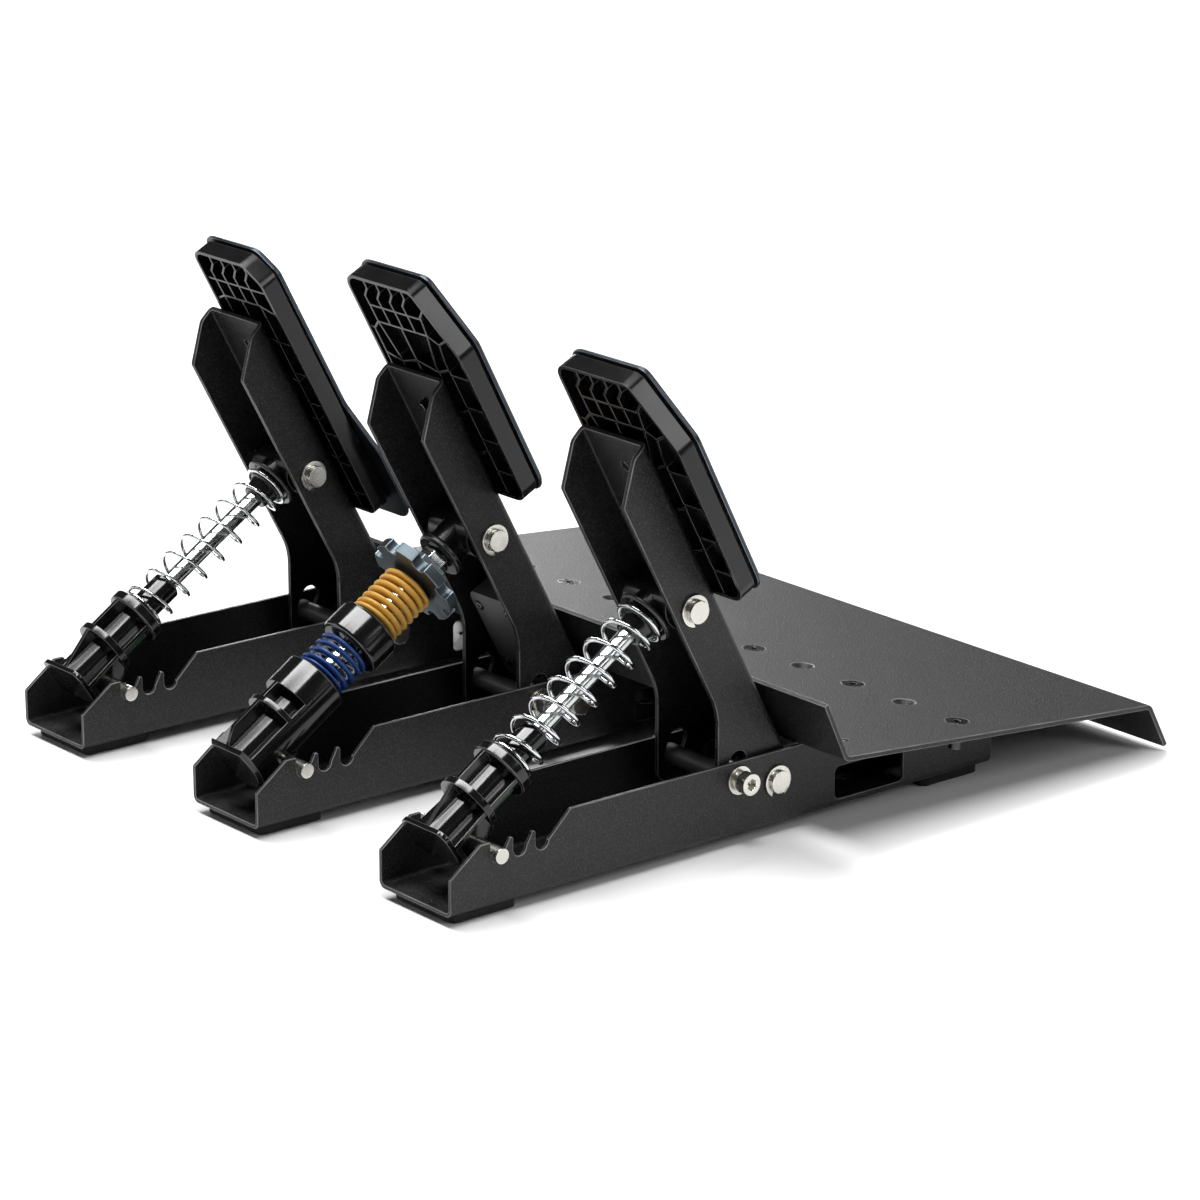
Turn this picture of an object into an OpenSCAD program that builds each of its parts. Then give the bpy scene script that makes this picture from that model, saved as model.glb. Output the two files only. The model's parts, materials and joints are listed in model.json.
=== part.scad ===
// Three-pedal floor unit for driving simulators: clutch, brake and gas.
// +X is the driver's right, +Y points away from the driver, +Z is up.
// The origin is on the floor, under the middle of the whole unit.

/* [Rails] */
// Distance between neighbouring rails
rail_pitch = 120; // [100:1:150]
// Outer width of a rail
rail_w = 43; // [41:0.5:46]
// Length of a rail
rail_len = 270; // [262:1:280]
// Height of a rail's side walls
rail_h = 30; // [28:0.5:33]
// Sheet thickness of a rail
rail_t = 1.5; // [1:0.1:1.8]
// Outer bend radius of a rail
rail_bend = 3; // [2:0.5:4]
// Height of the walls at the open front end
nose_h = 14.6; // [12:0.2:18]
// Length of the slanted nose
nose_run = 14.1; // [10:0.1:15]
// Thickness of the rubber feet
foot_t = 4; // [3:0.5:8]
// Length of a rubber foot
foot_len = 30; // [20:1:35]
// Margin between a foot and the rail's edges
foot_margin = 3.5; // [2:0.5:6]

/* [Notches for the lower strut pin] */
// Distance of the first notch from the rail's front end
notch_y = 21.6; // [20:0.2:24]
// Height of the notches' centre above the rail's underside
notch_z = 20; // [18:0.2:21]
// Number of notches in each wall
notch_count = 3; // [2:1:3]
// Distance between neighbouring notches
notch_pitch = 10.35; // [10:0.05:11]
// Height of the tooth tips above the rail's underside
notch_tip = 25.1; // [24.5:0.1:26]
// Slant of each notch's rear side
notch_slant = 2.4; // [1.5:0.1:2.6]
// Distance from the front end to the top of the ramp behind the notches
ramp_y = 55.8; // [54:0.2:60]
// Diameter of the lower strut pin
low_pin_d = 6; // [5:0.1:6.4]
// How far a pin's ends stand out of the walls
pin_proud = 3; // [2:0.5:5]

/* [Cable window] */
// Distance from the front end to the window
window_y = 186.3; // [180:1:190]
// Length of the window
window_len = 35.8; // [20:0.2:38]
// Height of the window's lower edge
window_z = 3.3; // [3:0.1:6]
// Height of the window
window_h = 13.2; // [8:0.2:14]
// Corner radius of the window
window_r = 2.5; // [1:0.5:4]

/* [Floor bolts] */
// Distance from the front end to the first bolt hole
bolt_y = 70; // [60:1:80]
// Distance between the two bolt holes of a rail
bolt_pitch = 140; // [120:1:150]
// Diameter of a bolt hole
bolt_hole_d = 6.6; // [5:0.1:8]

/* [Heel plate] */
// Width of the heel plate
plate_w = 336.6; // [330:0.2:350]
// Sheet thickness of the heel plate
plate_t = 2; // [1.5:0.1:3]
// Distance from the rails' front end to the front bend
plate_y = 168.5; // [166:0.5:174]
// Depth of the heel plate between its two bends
plate_len = 164.3; // [150:0.5:175]
// Slope of the heel plate
plate_slope = 4.96; // [4:0.02:5.2]
// Length of the upright flange in front
front_flange = 25.5; // [15:0.5:30]
// Forward lean of the upright flange
front_lean = 24.8; // [20:0.2:30]
// Length of the flange at the driver's end
rear_flange = 21.3; // [15:0.1:21.5]
// Outward lean of the flange at the driver's end
rear_lean = 28.4; // [20:0.2:35]
// Inner bend radius of the heel plate
plate_bend = 2; // [1:0.5:3]
// Distance from the front bend to the row of holes, along the plate
hole_row = 74.1; // [68:0.1:80]
// Distance between neighbouring holes of the row
hole_pitch = 30; // [28:0.5:30]
// Number of holes in the row
hole_count = 11; // [11:2:11]
// Diameter of a screw hole
screw_hole_d = 5.5; // [5.2:0.1:6]
// Diameter of a heel plate screw
screw_d = 5; // [4:0.1:5]
// Diameter of a countersunk head
screw_head_d = 9.6; // [9:0.1:10]
// Length of a heel plate screw
screw_len = 11; // [8:0.5:16]
// Length of a rail's tab along the rail
tab_len = 22; // [16:1:26]
// Distance from the front bend to the locating pins, along the plate
dowel_row = 14.8; // [12:0.2:20]
// Diameter of a locating pin
dowel_d = 3; // [2:0.1:4]

/* [Pivot and stop] */
// Distance from the rails' front end to the pedal pivot
pivot_y = 156.4; // [154:0.2:158]
// Height of the pivot above the rail's underside
pivot_z = 17.9; // [17:0.1:19]
// Diameter of the pivot pin and of the upper strut pin
pin_d = 9; // [7:0.1:9.5]
// Wall of the plastic pivot bush
bush_wall = 1.5; // [1:0.1:2]
// Flange thickness of the pivot bush
bush_flange_t = 1.2; // [0.8:0.1:1.3]
// Distance from the pivot forward to the stop bolt
stop_y = 19.4; // [19:0.1:20]
// Height of the stop bolt above the pivot
stop_z = 4.7; // [4:0.1:5]
// Outer diameter of the stop sleeve
stop_sleeve_d = 8; // [7:0.1:8.2]
// Thread diameter of the stop bolt
stop_bolt_d = 5; // [4:0.1:5.4]
// Head diameter of the stop bolt
stop_head_d = 8.6; // [8:0.1:9.4]
// Largest pedal travel that the stop slot allows, in degrees
stop_travel = 18; // [12:0.5:18]

/* [Pedal arms] */
// Outer width of an arm
arm_w = 37; // [36:0.2:37]
// Sheet thickness of an arm
arm_t = 2; // [1.5:0.1:2.2]
// Outer bend radius of an arm
arm_bend = 3; // [2.5:0.5:4]
// Forward lean of the arms
arm_lean = 27.8; // [26:0.2:29]
// Length of an arm above its pivot
arm_len = 155.5; // [150:0.5:160]
// Distance from the pivot back to the arm's web face
arm_back = 11.7; // [11.5:0.1:13]
// Distance from the pivot forward to the arm's front edge
arm_front = 8.7; // [8:0.1:10]
// Distance from the pivot forward to the arm's foot edge
arm_foot = 27; // [26.6:0.1:28]
// Distance from the pivot up to the upper strut pin
upper_pin_a = 84.5; // [82:0.5:87]
// Distance from the pivot up to the upper pad screw
pad_screw_a = 141; // [138:0.5:144]
// Distance between an arm's two pad screws
pad_screw_gap = 40; // [36:1:42]
// How far the brake's pad screws stand out inside the arm
pad_screw_proud = 3.4; // [0:0.1:5]
// Diameter of a pad screw
pad_screw_d = 4; // [3:0.1:5]

/* [Pads] */
// Depth of a ribbed pad carrier
carrier_d = 8.5; // [6:0.5:9]
// Rim thickness of a pad carrier
carrier_rim = 1.5; // [1.2:0.1:3]
// Skin thickness of a pad carrier
carrier_skin = 2; // [1.5:0.1:3]
// Thickness of the carrier's ribs
carrier_rib = 1; // [0.8:0.1:2]
// Distance between the kinked ribs in a carrier's upper part
rib_pitch = 7.9; // [7:0.1:8.5]
// Width of the shadow groove between a carrier and its face plate
groove_w = 1.2; // [1:0.1:2]
// Thickness of a pad's face plate
face_t = 2.4; // [2.2:0.1:4]
// How far the brake and clutch faces reach past their carriers
face_lip = 0.8; // [0.4:0.1:4]
// Width of the brake and clutch carriers
pad_w = 56.3; // [50:0.1:60]
// Width of the pad's cut upper corner
pad_cut = 13.8; // [10:0.1:18]
// Height of the pad's cut upper corner
pad_cut_h = 28.5; // [20:0.5:32]
// How much the pad narrows towards its lower end
pad_taper = 1; // [0:0.1:3]
// Height of the brake and clutch carriers
pad_h = 100.2; // [95:0.2:102]
// Height of the brake carrier's top above the pivot
brake_pad_top = 198; // [195:0.5:201]
// Height of the clutch carrier's top above the pivot
clutch_pad_top = 183; // [180:0.5:186]
// Width of the gas carrier
gas_pad_w = 43.5; // [41:0.5:46]
// Height of the gas carrier
gas_pad_h = 128; // [122:0.5:134]
// Height of the gas carrier's top above the pivot
gas_pad_top = 185.3; // [182:0.5:188]
// Shift of the pads' right-hand edge from the arm's middle
pad_right = 20.5; // [19.5:0.1:22]
// How far the gas face flares out at its lower end
gas_flare = 9.5; // [0:0.5:12]

/* [Struts] */
// Distance of the strut's axis above its lower pin
strut_off = 9; // [8.6:0.1:10]
// Diameter of the clutch and gas rods
rod_d = 7; // [6:0.1:7.5]
// Outer diameter of the housing's guide sleeve
sleeve_d = 12; // [11.5:0.1:13]
// Length of the guide sleeve above the spring seat
sleeve_len = 17; // [12:0.5:20]
// Diameter of the housing's collars
collar_d = 24.6; // [22:0.1:26]
// Thickness of the housing's fins
fin_t = 1.8; // [1.2:0.1:2.4]
// Distance from the lower pin to the housing's spring seat
seat_s = 31; // [29:0.5:33]
// Coil diameter of the clutch and gas springs, at the wire's middle
spring_d = 18.4; // [18:0.1:19]
// Wire diameter of the clutch spring
clutch_wire = 1.8; // [1.4:0.1:2]
// Wire diameter of the gas spring
gas_wire = 1.4; // [1.2:0.1:1.8]
// Number of turns of the clutch and gas springs
spring_turns = 9; // [7:1:10]
// Diameter of the rod end's spring flange
cap_d = 23.2; // [22.5:0.1:24]
// Play of the rod end's eye on the upper pin, on the radius
eye_play = 1.1; // [1:0.05:1.2]

/* [Brake strut] */
// Diameter of the brake's threaded rod
brake_rod_d = 8; // [7:0.1:8.4]
// Diameter of the brake housing
brake_collar_d = 27; // [24.5:0.1:28]
// Diameter of the spacer cup between the brake springs
cup_d = 26.8; // [24:0.1:28]
// Diameter of the brake rod end's flange
rod_end_d = 20.4; // [19:0.1:21]
// Distance from the lower pin to the brake housing's spring seat
brake_seat_s = 33; // [32:0.5:34]
// Length of the lower brake spring
low_spring_len = 17.7; // [16:0.1:19]
// Turns of the lower brake spring
low_spring_turns = 5; // [4:1:5]
// Length of the spacer between the brake springs
spacer_len = 13.3; // [12:0.1:15]
// Length of the upper brake spring
up_spring_len = 24.2; // [22:0.1:25]
// Turns of the upper brake spring
up_spring_turns = 7; // [5:1:7]
// Coil diameter of the brake springs, at the wire's middle
die_d = 17.6; // [17.2:0.1:18.4]
// Width of the brake springs' flat wire
die_wire_w = 4; // [3.4:0.1:4.4]
// Height of the brake springs' flat wire
die_wire_h = 2; // [1.6:0.1:2.1]
// Diameter of the preload wheel
wheel_d = 39; // [32:0.5:40]
// Thickness of the preload wheel
wheel_t = 5; // [4:0.1:6]
// Number of notches round the preload wheel
wheel_notches = 8; // [6:1:10]
// Height of the preload wheel's hexagon
hex_h = 4.5; // [3:0.1:5]

/* [Brake sensor] */
// Length of the sensor cover in the brake arm
cover_len = 44.7; // [42:0.1:48]
// Wall of the sensor cover
cover_wall = 2; // [1.5:0.1:2.5]
// Width of the sensor cover
cover_w = 26; // [23:0.5:28]
// Distance of the cover's screws from its middle
cover_screw_x = 9.4; // [8:0.1:10]
// Distance between the cover's upper and lower screws
cover_screw_gap = 30; // [26:0.5:32]
// Diameter of a cover screw
cover_screw_d = 2.5; // [2:0.1:3]

/* [Clearances] */
// Gap on the radius between a pin and its running bore
run_gap = 0.05; // [0.02:0.01:0.1]
// Gap between a moving piece and its neighbour
free_gap = 0.3; // [0.3:0.05:0.6]
// Gap on the radius between a screw and its hole
screw_gap = 0.25; // [0.1:0.05:0.4]

/* [Hidden] */
$fn = 48;
eps = 0.01;

// Rail numbers, from the driver's left to right
CLUTCH = -1;
BRAKE = 0;
GAS = 1;
SIDES = [CLUTCH, BRAKE, GAS];

POWDER = [0.09, 0.09, 0.095];
GLOSS = [0.05, 0.05, 0.055];
RUBBER = [0.12, 0.12, 0.12];
NICKEL = [0.80, 0.78, 0.74];
ZINC = [0.75, 0.77, 0.80];
SLATE = [0.27, 0.32, 0.37];
BLACKED = [0.10, 0.10, 0.10];
NYLON = [0.20, 0.20, 0.21];
BOARD = [0.06, 0.25, 0.14];
GOLD = [0.80, 0.55, 0.18];
BLUE = [0.11, 0.22, 0.47];

// Heel plate: height of its top at the front bend, and how far it reaches back
plate_z = rail_h + plate_t / cos(plate_slope);
plate_rear_y = plate_y + plate_len * cos(plate_slope);
plate_rear_z = plate_z - plate_len * sin(plate_slope);
unit_len = plate_rear_y + rear_flange * sin(rear_lean);
front_y = unit_len / 2;

// Rail
low_pin_r = low_pin_d / 2;
notch_r = low_pin_r + run_gap;
notch_last = notch_y + (notch_count - 1) * notch_pitch;
tooth_r = (notch_pitch - 2 * notch_r - notch_slant) / 2;
rail_out = max(rail_w, arm_w + 2 * (bush_flange_t + free_gap + rail_t));
rail_in = rail_out - 2 * rail_t;
tab_reach = hole_pitch + 8;
tab_r = 4;
tab_hole_r = max(screw_hole_d / 2, screw_head_d / 2 - plate_t) + screw_gap;

// Pins
pin_r = pin_d / 2;
bush_r = pin_r + run_gap + bush_wall;
clip_t = 1.1;
clip_r = pin_r + 1.8;
groove_r = pin_r - 0.9;
head_t = 2.5;
stop_r = norm([stop_y, stop_z]);
stop_hole_r = stop_bolt_d / 2 + screw_gap;
washer_t = 0.24 * stop_bolt_d;
neck_t = 0.32 * stop_bolt_d;

// Arm: a world offset from the pivot, turned into the arm's own plane
function to_arm(dy, dz) = [
    dy * cos(arm_lean) - dz * sin(arm_lean),
    dy * sin(arm_lean) + dz * cos(arm_lean)
];
arm_in = arm_w - 2 * arm_t;
web_in = arm_back - arm_t;
pad_screws_a = [pad_screw_a, pad_screw_a - pad_screw_gap];
pad_head_d = 2 * pad_screw_d;
stop_at = to_arm(stop_y, stop_z);
slot_r = stop_sleeve_d / 2 + free_gap;
foot_low = to_arm(arm_foot, stop_z - slot_r - 5);
foot_bend_a = foot_low.y + (foot_low.x - arm_front) / tan(arm_lean);

// Strut: from the lower pin to the upper pin
upper_pin = [
    -pivot_y + upper_pin_a * sin(arm_lean),
    pivot_z + upper_pin_a * cos(arm_lean)
];
low_pin = [-notch_y, notch_z];
strut_span = norm(upper_pin - low_pin);
strut_angle = atan2(upper_pin.y - low_pin.y, low_pin.x - upper_pin.x) - asin(strut_off / strut_span);
strut_len = sqrt(strut_span * strut_span - strut_off * strut_off);
eye_r = pin_r + eye_play;
eye_out_r = min(eye_r + 3.1, web_in - 1);
eye_w = arm_in - 8;

// Strut stations, measured from the lower pin along the axis
house_end = -11;
brake_end = -14;
bore_end = -8;
cap_s = strut_len - 10.8;
cap_t = 2.4;
spigot_len = 9;
rod_low = 20;
rod_high = cap_s - 1;
low_spring_s = brake_seat_s;
spacer_s = low_spring_s + low_spring_len;
up_spring_s = spacer_s + spacer_len;
wheel_s = up_spring_s + up_spring_len;
skirt_s = strut_len - 16;
seat_gap = 0.15;

// Unit vector of v
function unit(v) = v / norm(v);

// Points of the arc that rounds the corner b between a and c with radius r
function corner(a, b, c, r, n) =
    r <= 0 ? [b] :
    let (
        u = unit(a - b),
        v = unit(c - b),
        half = acos(u * v) / 2,
        mid = b + unit(u + v) * (r / sin(half)),
        p = b + u * (r / tan(half)) - mid,
        q = b + v * (r / tan(half)) - mid,
        from = atan2(p.y, p.x),
        turn = atan2(q.y, q.x) - from,
        sweep = turn > 180 ? turn - 360 : turn < -180 ? turn + 360 : turn
    )
    [for (k = [0 : n]) mid + r * [cos(from + sweep * k / n), sin(from + sweep * k / n)]];

// Closed outline from corners given as [x, y, radius]
function rounded(pts, n = 5) =
    let (m = len(pts))
    [for (i = [0 : m - 1])
        let (a = pts[(i + m - 1) % m], b = pts[i], c = pts[(i + 1) % m])
        each corner([a.x, a.y], [b.x, b.y], [c.x, c.y], b.z, n)];

// Corners moved inwards by d, for an outline that runs anticlockwise
function inset(pts, d) =
    let (m = len(pts))
    [for (i = [0 : m - 1])
        let (
            a = pts[(i + m - 1) % m],
            b = pts[i],
            c = pts[(i + 1) % m],
            e = unit([b.x - a.x, b.y - a.y]),
            f = unit([c.x - b.x, c.y - b.y]),
            s = [-e.y - f.y, e.x + f.x] / (1 + e * f)
        )
        [b.x + d * s.x, b.y + d * s.y, max(b.z - d, 0.6)]];

// A side profile drawn in Y and Z, given the width w across X
module across(w) {
    translate([-w / 2, 0, 0])
        rotate([90, 0, 90])
            linear_extrude(w) children();
}

// A cylinder along X, centred
module rod_x(r, w) {
    rotate([0, 90, 0]) cylinder(r = r, h = w, center = true);
}

// A cylinder along X, from x0 to x1
module span_x(r, x0, x1) {
    translate([x0, 0, 0]) rotate([0, 90, 0]) cylinder(r = r, h = x1 - x0);
}

// Rail frame: the front end of a rail's underside, in its middle
module on_rail(i) {
    translate([i * rail_pitch, front_y, foot_t]) children();
}

// Arm frame at the pivot: Z runs up the arm, Y towards its open front
module on_arm(i) {
    on_rail(i)
        translate([0, -pivot_y, pivot_z])
            rotate([-arm_lean, 0, 0]) children();
}

// Strut frame: Z runs up the strut's axis from beside the lower pin
module on_strut(i) {
    on_rail(i)
        translate([0, low_pin.x, low_pin.y])
            rotate([90 - strut_angle, 0, 0])
                translate([0, strut_off, 0]) children();
}

// Heel plate frame: top face at the front bend, Y along the slope
module on_plate() {
    translate([0, front_y - plate_y, foot_t + plate_z])
        rotate([plate_slope, 0, 0]) children();
}

// Rectangle with round corners, from a corner at the origin
module round_rect(w, h, r) {
    translate([r, 0]) square([w - 2 * r, h]);
    translate([0, r]) square([w, h - 2 * r]);
    for (x = [r, w - r], y = [r, h - r]) translate([x, y]) circle(r);
}

// Section of a bent channel: open at the top, round at the two lower corners
module tub(w, h, r) {
    translate([-w / 2, r]) square([w, h - r]);
    translate([-w / 2 + r, 0]) square([w - 2 * r, h]);
    for (x = [-w / 2 + r, w / 2 - r]) translate([x, r]) circle(r);
}

// One notch of the rail wall; its rear side slants, its front side is upright
module notch(y) {
    translate([-y, notch_z]) circle(notch_r);
    polygon([
        [-y + notch_r, notch_z],
        [-y + notch_r, notch_tip + 2],
        [-y - notch_r - notch_slant, notch_tip + 2],
        [-y - notch_r - notch_slant, notch_tip - tooth_r],
        [-y - notch_r, notch_z]
    ]);
}

// Side wall of a rail, seen from the side
module wall_profile() {
    rear_z = rail_h - (rail_len - plate_y) * tan(plate_slope) - 0.2;
    difference() {
        polygon([
            [0, 0],
            [0, nose_h],
            [-nose_run, notch_tip],
            [-notch_last, notch_tip],
            [-notch_last, rail_h - 0.2],
            [-plate_y, rail_h - 0.2],
            [-rail_len, rear_z],
            [-rail_len, 0]
        ]);
        for (k = [0 : notch_count - 2]) notch(notch_y + k * notch_pitch);
        translate([-notch_last, notch_z]) circle(notch_r);
        polygon([
            [-notch_last + notch_r, notch_z],
            [-notch_last + notch_r, rail_h + 1],
            [-ramp_y, rail_h + 1],
            [-ramp_y, rail_h - 0.2],
            [-notch_last - notch_r, notch_z]
        ]);
        translate([-notch_last, notch_tip - tooth_r])
            square([notch_last - notch_y, 2]);
    }
    for (k = [0 : notch_count - 2])
        translate([-notch_y - notch_r - notch_slant - tooth_r - k * notch_pitch, notch_tip - tooth_r])
            circle(tooth_r);
}

// Tab that a rail's wall bends out under the heel plate
module tab(side, y, span) {
    on_tab = min(rail_out / 2 - rail_t, tab_reach);
    on_plate()
        translate([0, -y - span / 2, -plate_t - rail_t])
            linear_extrude(rail_t)
                mirror([side > 0 ? 0 : 1, 0]) {
                    translate([on_tab, 0]) square([tab_reach - tab_r - on_tab, span]);
                    translate([tab_reach - tab_r - eps, tab_r])
                        square([tab_r + eps, span - 2 * tab_r]);
                    for (v = [tab_r, span - tab_r])
                        translate([tab_reach - tab_r, v]) circle(tab_r);
                }
}

module rail(i) {
    color(POWDER) difference() {
        union() {
            on_rail(i) intersection() {
                across(rail_out) wall_profile();
                rotate([90, 0, 0])
                    linear_extrude(rail_len)
                        difference() {
                            tub(rail_out, rail_h, rail_bend);
                            translate([0, rail_t])
                                tub(rail_in, rail_h, rail_bend - rail_t + eps);
                        }
            }
            translate([i * rail_pitch, 0, 0]) {
                tab(-1, hole_row, tab_len);
                tab(1, hole_row, tab_len);
                tab(-1, dowel_row, tab_len - 6);
            }
        }
        on_rail(i) {
            translate([0, -pivot_y, pivot_z]) {
                rod_x(pin_r + run_gap, rail_out + 2);
                translate([0, stop_y, stop_z]) rod_x(stop_hole_r, rail_out + 2);
            }
            across(rail_out + 2)
                translate([-window_y - window_len, window_z])
                    round_rect(window_len, window_h, window_r);
            for (k = [0, 1])
                translate([0, -bolt_y - k * bolt_pitch, -1])
                    cylinder(d = bolt_hole_d, h = rail_t + 2);
        }
        translate([i * rail_pitch, 0, 0]) on_plate() {
            for (x = [-hole_pitch, hole_pitch])
                translate([x, -hole_row, -plate_t - rail_t - 1])
                    cylinder(r = tab_hole_r, h = rail_t + 2);
            translate([-hole_pitch, -dowel_row, -plate_t - rail_t - 1])
                cylinder(r = dowel_d / 2 + run_gap, h = rail_t + 2);
        }
    }
}

module clutch_rail() { rail(CLUTCH); }
module brake_rail() { rail(BRAKE); }
module gas_rail() { rail(GAS); }

// Rubber foot, with its front edge at y
module foot(y) {
    color(RUBBER)
        for (i = SIDES)
            translate([i * rail_pitch - rail_out / 2 + foot_margin, front_y - y - foot_len, 0])
                linear_extrude(foot_t)
                    round_rect(rail_out - 2 * foot_margin, foot_len, 3);
}

module front_feet() { foot(foot_margin); }
module rear_feet() { foot(rail_len - foot_margin - foot_len); }

// Heel plate: one sheet with an upright flange in front and a hanging one behind
module heel_plate() {
    s = [0, 0];
    top = [
        [front_flange * sin(front_lean + plate_slope), front_flange * cos(front_lean + plate_slope)],
        s,
        [-plate_len, 0],
        [-plate_len - rear_flange * sin(rear_lean + plate_slope), -rear_flange * cos(rear_lean + plate_slope)]
    ];
    u = unit(top[0] - top[1]);
    v = unit(top[3] - top[2]);
    nu = [u.y, -u.x];
    nv = [-v.y, v.x];
    b1 = [plate_t * tan((90 - front_lean - plate_slope) / 2), -plate_t];
    b2 = [-plate_len + plate_t * tan((90 - rear_lean - plate_slope) / 2), -plate_t];
    outline = concat(
        [top[0]],
        corner(top[0], top[1], top[2], plate_bend, 6),
        corner(top[1], top[2], top[3], plate_bend + plate_t, 6),
        [top[3], top[3] + plate_t * nv],
        corner(top[3] + plate_t * nv, b2, b1, plate_bend, 6),
        corner(b2, b1, top[0] + plate_t * nu, plate_bend + plate_t, 6),
        [top[0] + plate_t * nu]
    );
    color(POWDER) on_plate() difference() {
        across(plate_w) polygon(outline);
        for (k = [0 : hole_count - 1])
            translate([(k - (hole_count - 1) / 2) * hole_pitch, -hole_row, 0]) {
                translate([0, 0, -plate_t - 1]) cylinder(d = screw_hole_d, h = plate_t + 2);
                sink = (screw_head_d - screw_hole_d) / 2;
                translate([0, 0, -sink])
                    cylinder(d1 = screw_hole_d, d2 = screw_head_d + 0.4, h = sink + 0.2);
            }
        for (i = SIDES)
            translate([i * rail_pitch - hole_pitch, -dowel_row, -plate_t - 1])
                cylinder(r = dowel_d / 2 + run_gap, h = plate_t + 2);
    }
}

// Countersunk screw with a hexagon socket, head up at the origin
module sunk_screw(d, head, length, socket) {
    sink = (head - d) / 2;
    difference() {
        union() {
            translate([0, 0, -sink]) cylinder(d1 = d, d2 = head, h = sink);
            translate([0, 0, -length]) cylinder(d = d, h = length - sink + eps);
        }
        translate([0, 0, -sink]) cylinder(d = socket, h = sink + 1, $fn = 6);
    }
}

module at_tab_screws() {
    on_plate()
        for (i = SIDES, x = [-hole_pitch, hole_pitch])
            translate([i * rail_pitch + x, -hole_row, 0]) children();
}

module heel_plate_screws() {
    color(NICKEL) at_tab_screws() sunk_screw(screw_d, screw_head_d, screw_len, 3.4);
}

// Hexagon nut for a thread d, standing on the origin
module hex_nut(d) {
    h = 0.8 * d;
    difference() {
        cylinder(d = 1.6 * d / cos(30), h = h, $fn = 6);
        translate([0, 0, -1]) cylinder(r = d / 2 + run_gap, h = h + 2);
    }
}

module heel_plate_nuts() {
    color(ZINC) at_tab_screws()
        translate([0, 0, -plate_t - rail_t - 0.8 * screw_d]) hex_nut(screw_d);
}

module locating_pins() {
    color(ZINC) on_plate()
        for (i = SIDES)
            translate([i * rail_pitch - hole_pitch, -dowel_row, -plate_t - rail_t - 2])
                cylinder(d = dowel_d, h = plate_t + rail_t + 2);
}

module at_stops() {
    for (i = SIDES)
        on_rail(i) translate([0, stop_y - pivot_y, pivot_z + stop_z]) children();
}

// Socket-head bolt along X, head on the driver's left
module stop_bolts() {
    out = rail_out / 2 + washer_t + neck_t;
    color(NICKEL) at_stops() difference() {
        union() {
            span_x(stop_bolt_d / 2, -out - eps, out + 1.2 * stop_bolt_d);
            span_x(stop_head_d / 2, -out - stop_bolt_d, -out);
        }
        translate([-out - stop_bolt_d - 1, 0, 0])
            rotate([0, 90, 0]) cylinder(d = stop_bolt_d * 0.92, h = 4, $fn = 6);
    }
}

// Collared washer on each side of a rail
module stop_washers() {
    color(NICKEL) at_stops()
        for (side = [0, 1])
            mirror([side, 0, 0]) difference() {
                union() {
                    span_x(1.14 * stop_bolt_d, rail_out / 2, rail_out / 2 + washer_t);
                    span_x(0.74 * stop_bolt_d, rail_out / 2, rail_out / 2 + washer_t + neck_t);
                }
                span_x(stop_bolt_d / 2 + run_gap, 0, rail_out);
            }
}

module stop_sleeves() {
    color(GLOSS) at_stops() difference() {
        rod_x(stop_sleeve_d / 2, rail_in);
        rod_x(stop_bolt_d / 2 + run_gap, rail_in + 1);
    }
}

module stop_nuts() {
    color(NICKEL) at_stops()
        translate([rail_out / 2 + washer_t + neck_t, 0, 0])
            rotate([0, 90, 0]) hex_nut(stop_bolt_d);
}

// Headed pin along X that holds a width w; the left end has a clip groove
module headed_pin(w, tail) {
    color(NICKEL) difference() {
        union() {
            span_x(pin_r, -w / 2 - clip_t - tail, w / 2 + eps);
            span_x(pin_r + 1.5, w / 2, w / 2 + head_t);
        }
        translate([-w / 2 - clip_t - 0.1, 0, 0]) difference() {
            span_x(pin_r + 1, 0, clip_t + 0.1);
            span_x(groove_r, -1, clip_t + 1);
        }
    }
}

// Open retaining clip for the pin's groove
module pin_clip(w) {
    color(NICKEL) translate([-w / 2 - clip_t, 0, 0]) difference() {
        span_x(clip_r, 0, clip_t - 0.05);
        span_x(groove_r + run_gap, -1, clip_t + 1);
        translate([-1, -groove_r * 0.8, -clip_r - 1])
            cube([clip_t + 2, groove_r * 1.6, clip_r + 1]);
    }
}

module at_pivots() {
    for (i = SIDES) on_rail(i) translate([0, -pivot_y, pivot_z]) children();
}

module pivot_pins() { at_pivots() headed_pin(rail_out, 1.6); }
module pivot_clips() { at_pivots() pin_clip(rail_out); }

// Plain pin that lies in the first pair of notches
module strut_pins() {
    color(NICKEL)
        for (i = SIDES)
            on_rail(i) translate([0, low_pin.x, low_pin.y]) rod_x(low_pin_r, rail_out + 2 * pin_proud);
}

// Side of a pedal arm: straight web, clipped top, foot that reaches forward
module arm_profile() {
    polygon(rounded([
        [-arm_back, 0, 0],
        [0, -arm_back, 0],
        [foot_low.x, foot_low.y, 4],
        [arm_front, foot_bend_a, 25],
        [arm_front, arm_len - 15.5, 2],
        [-3.8, arm_len - 2.2, 5],
        [-arm_back, arm_len, 0.5]
    ]));
    circle(arm_back);
}

// Curved slot round the pivot that meets the stop sleeve at both ends of the travel
module stop_slot() {
    sweep = stop_travel + 0.4;
    far = 2 * stop_r;
    intersection() {
        difference() {
            circle(stop_r + slot_r, $fn = 120);
            circle(stop_r - slot_r, $fn = 120);
        }
        polygon([[0, 0], [far, 0], far * [cos(sweep / 2), sin(sweep / 2)], far * [cos(sweep), sin(sweep)]]);
    }
    for (turn = [0, sweep]) rotate(turn) translate([stop_r, 0]) circle(slot_r);
}

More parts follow.
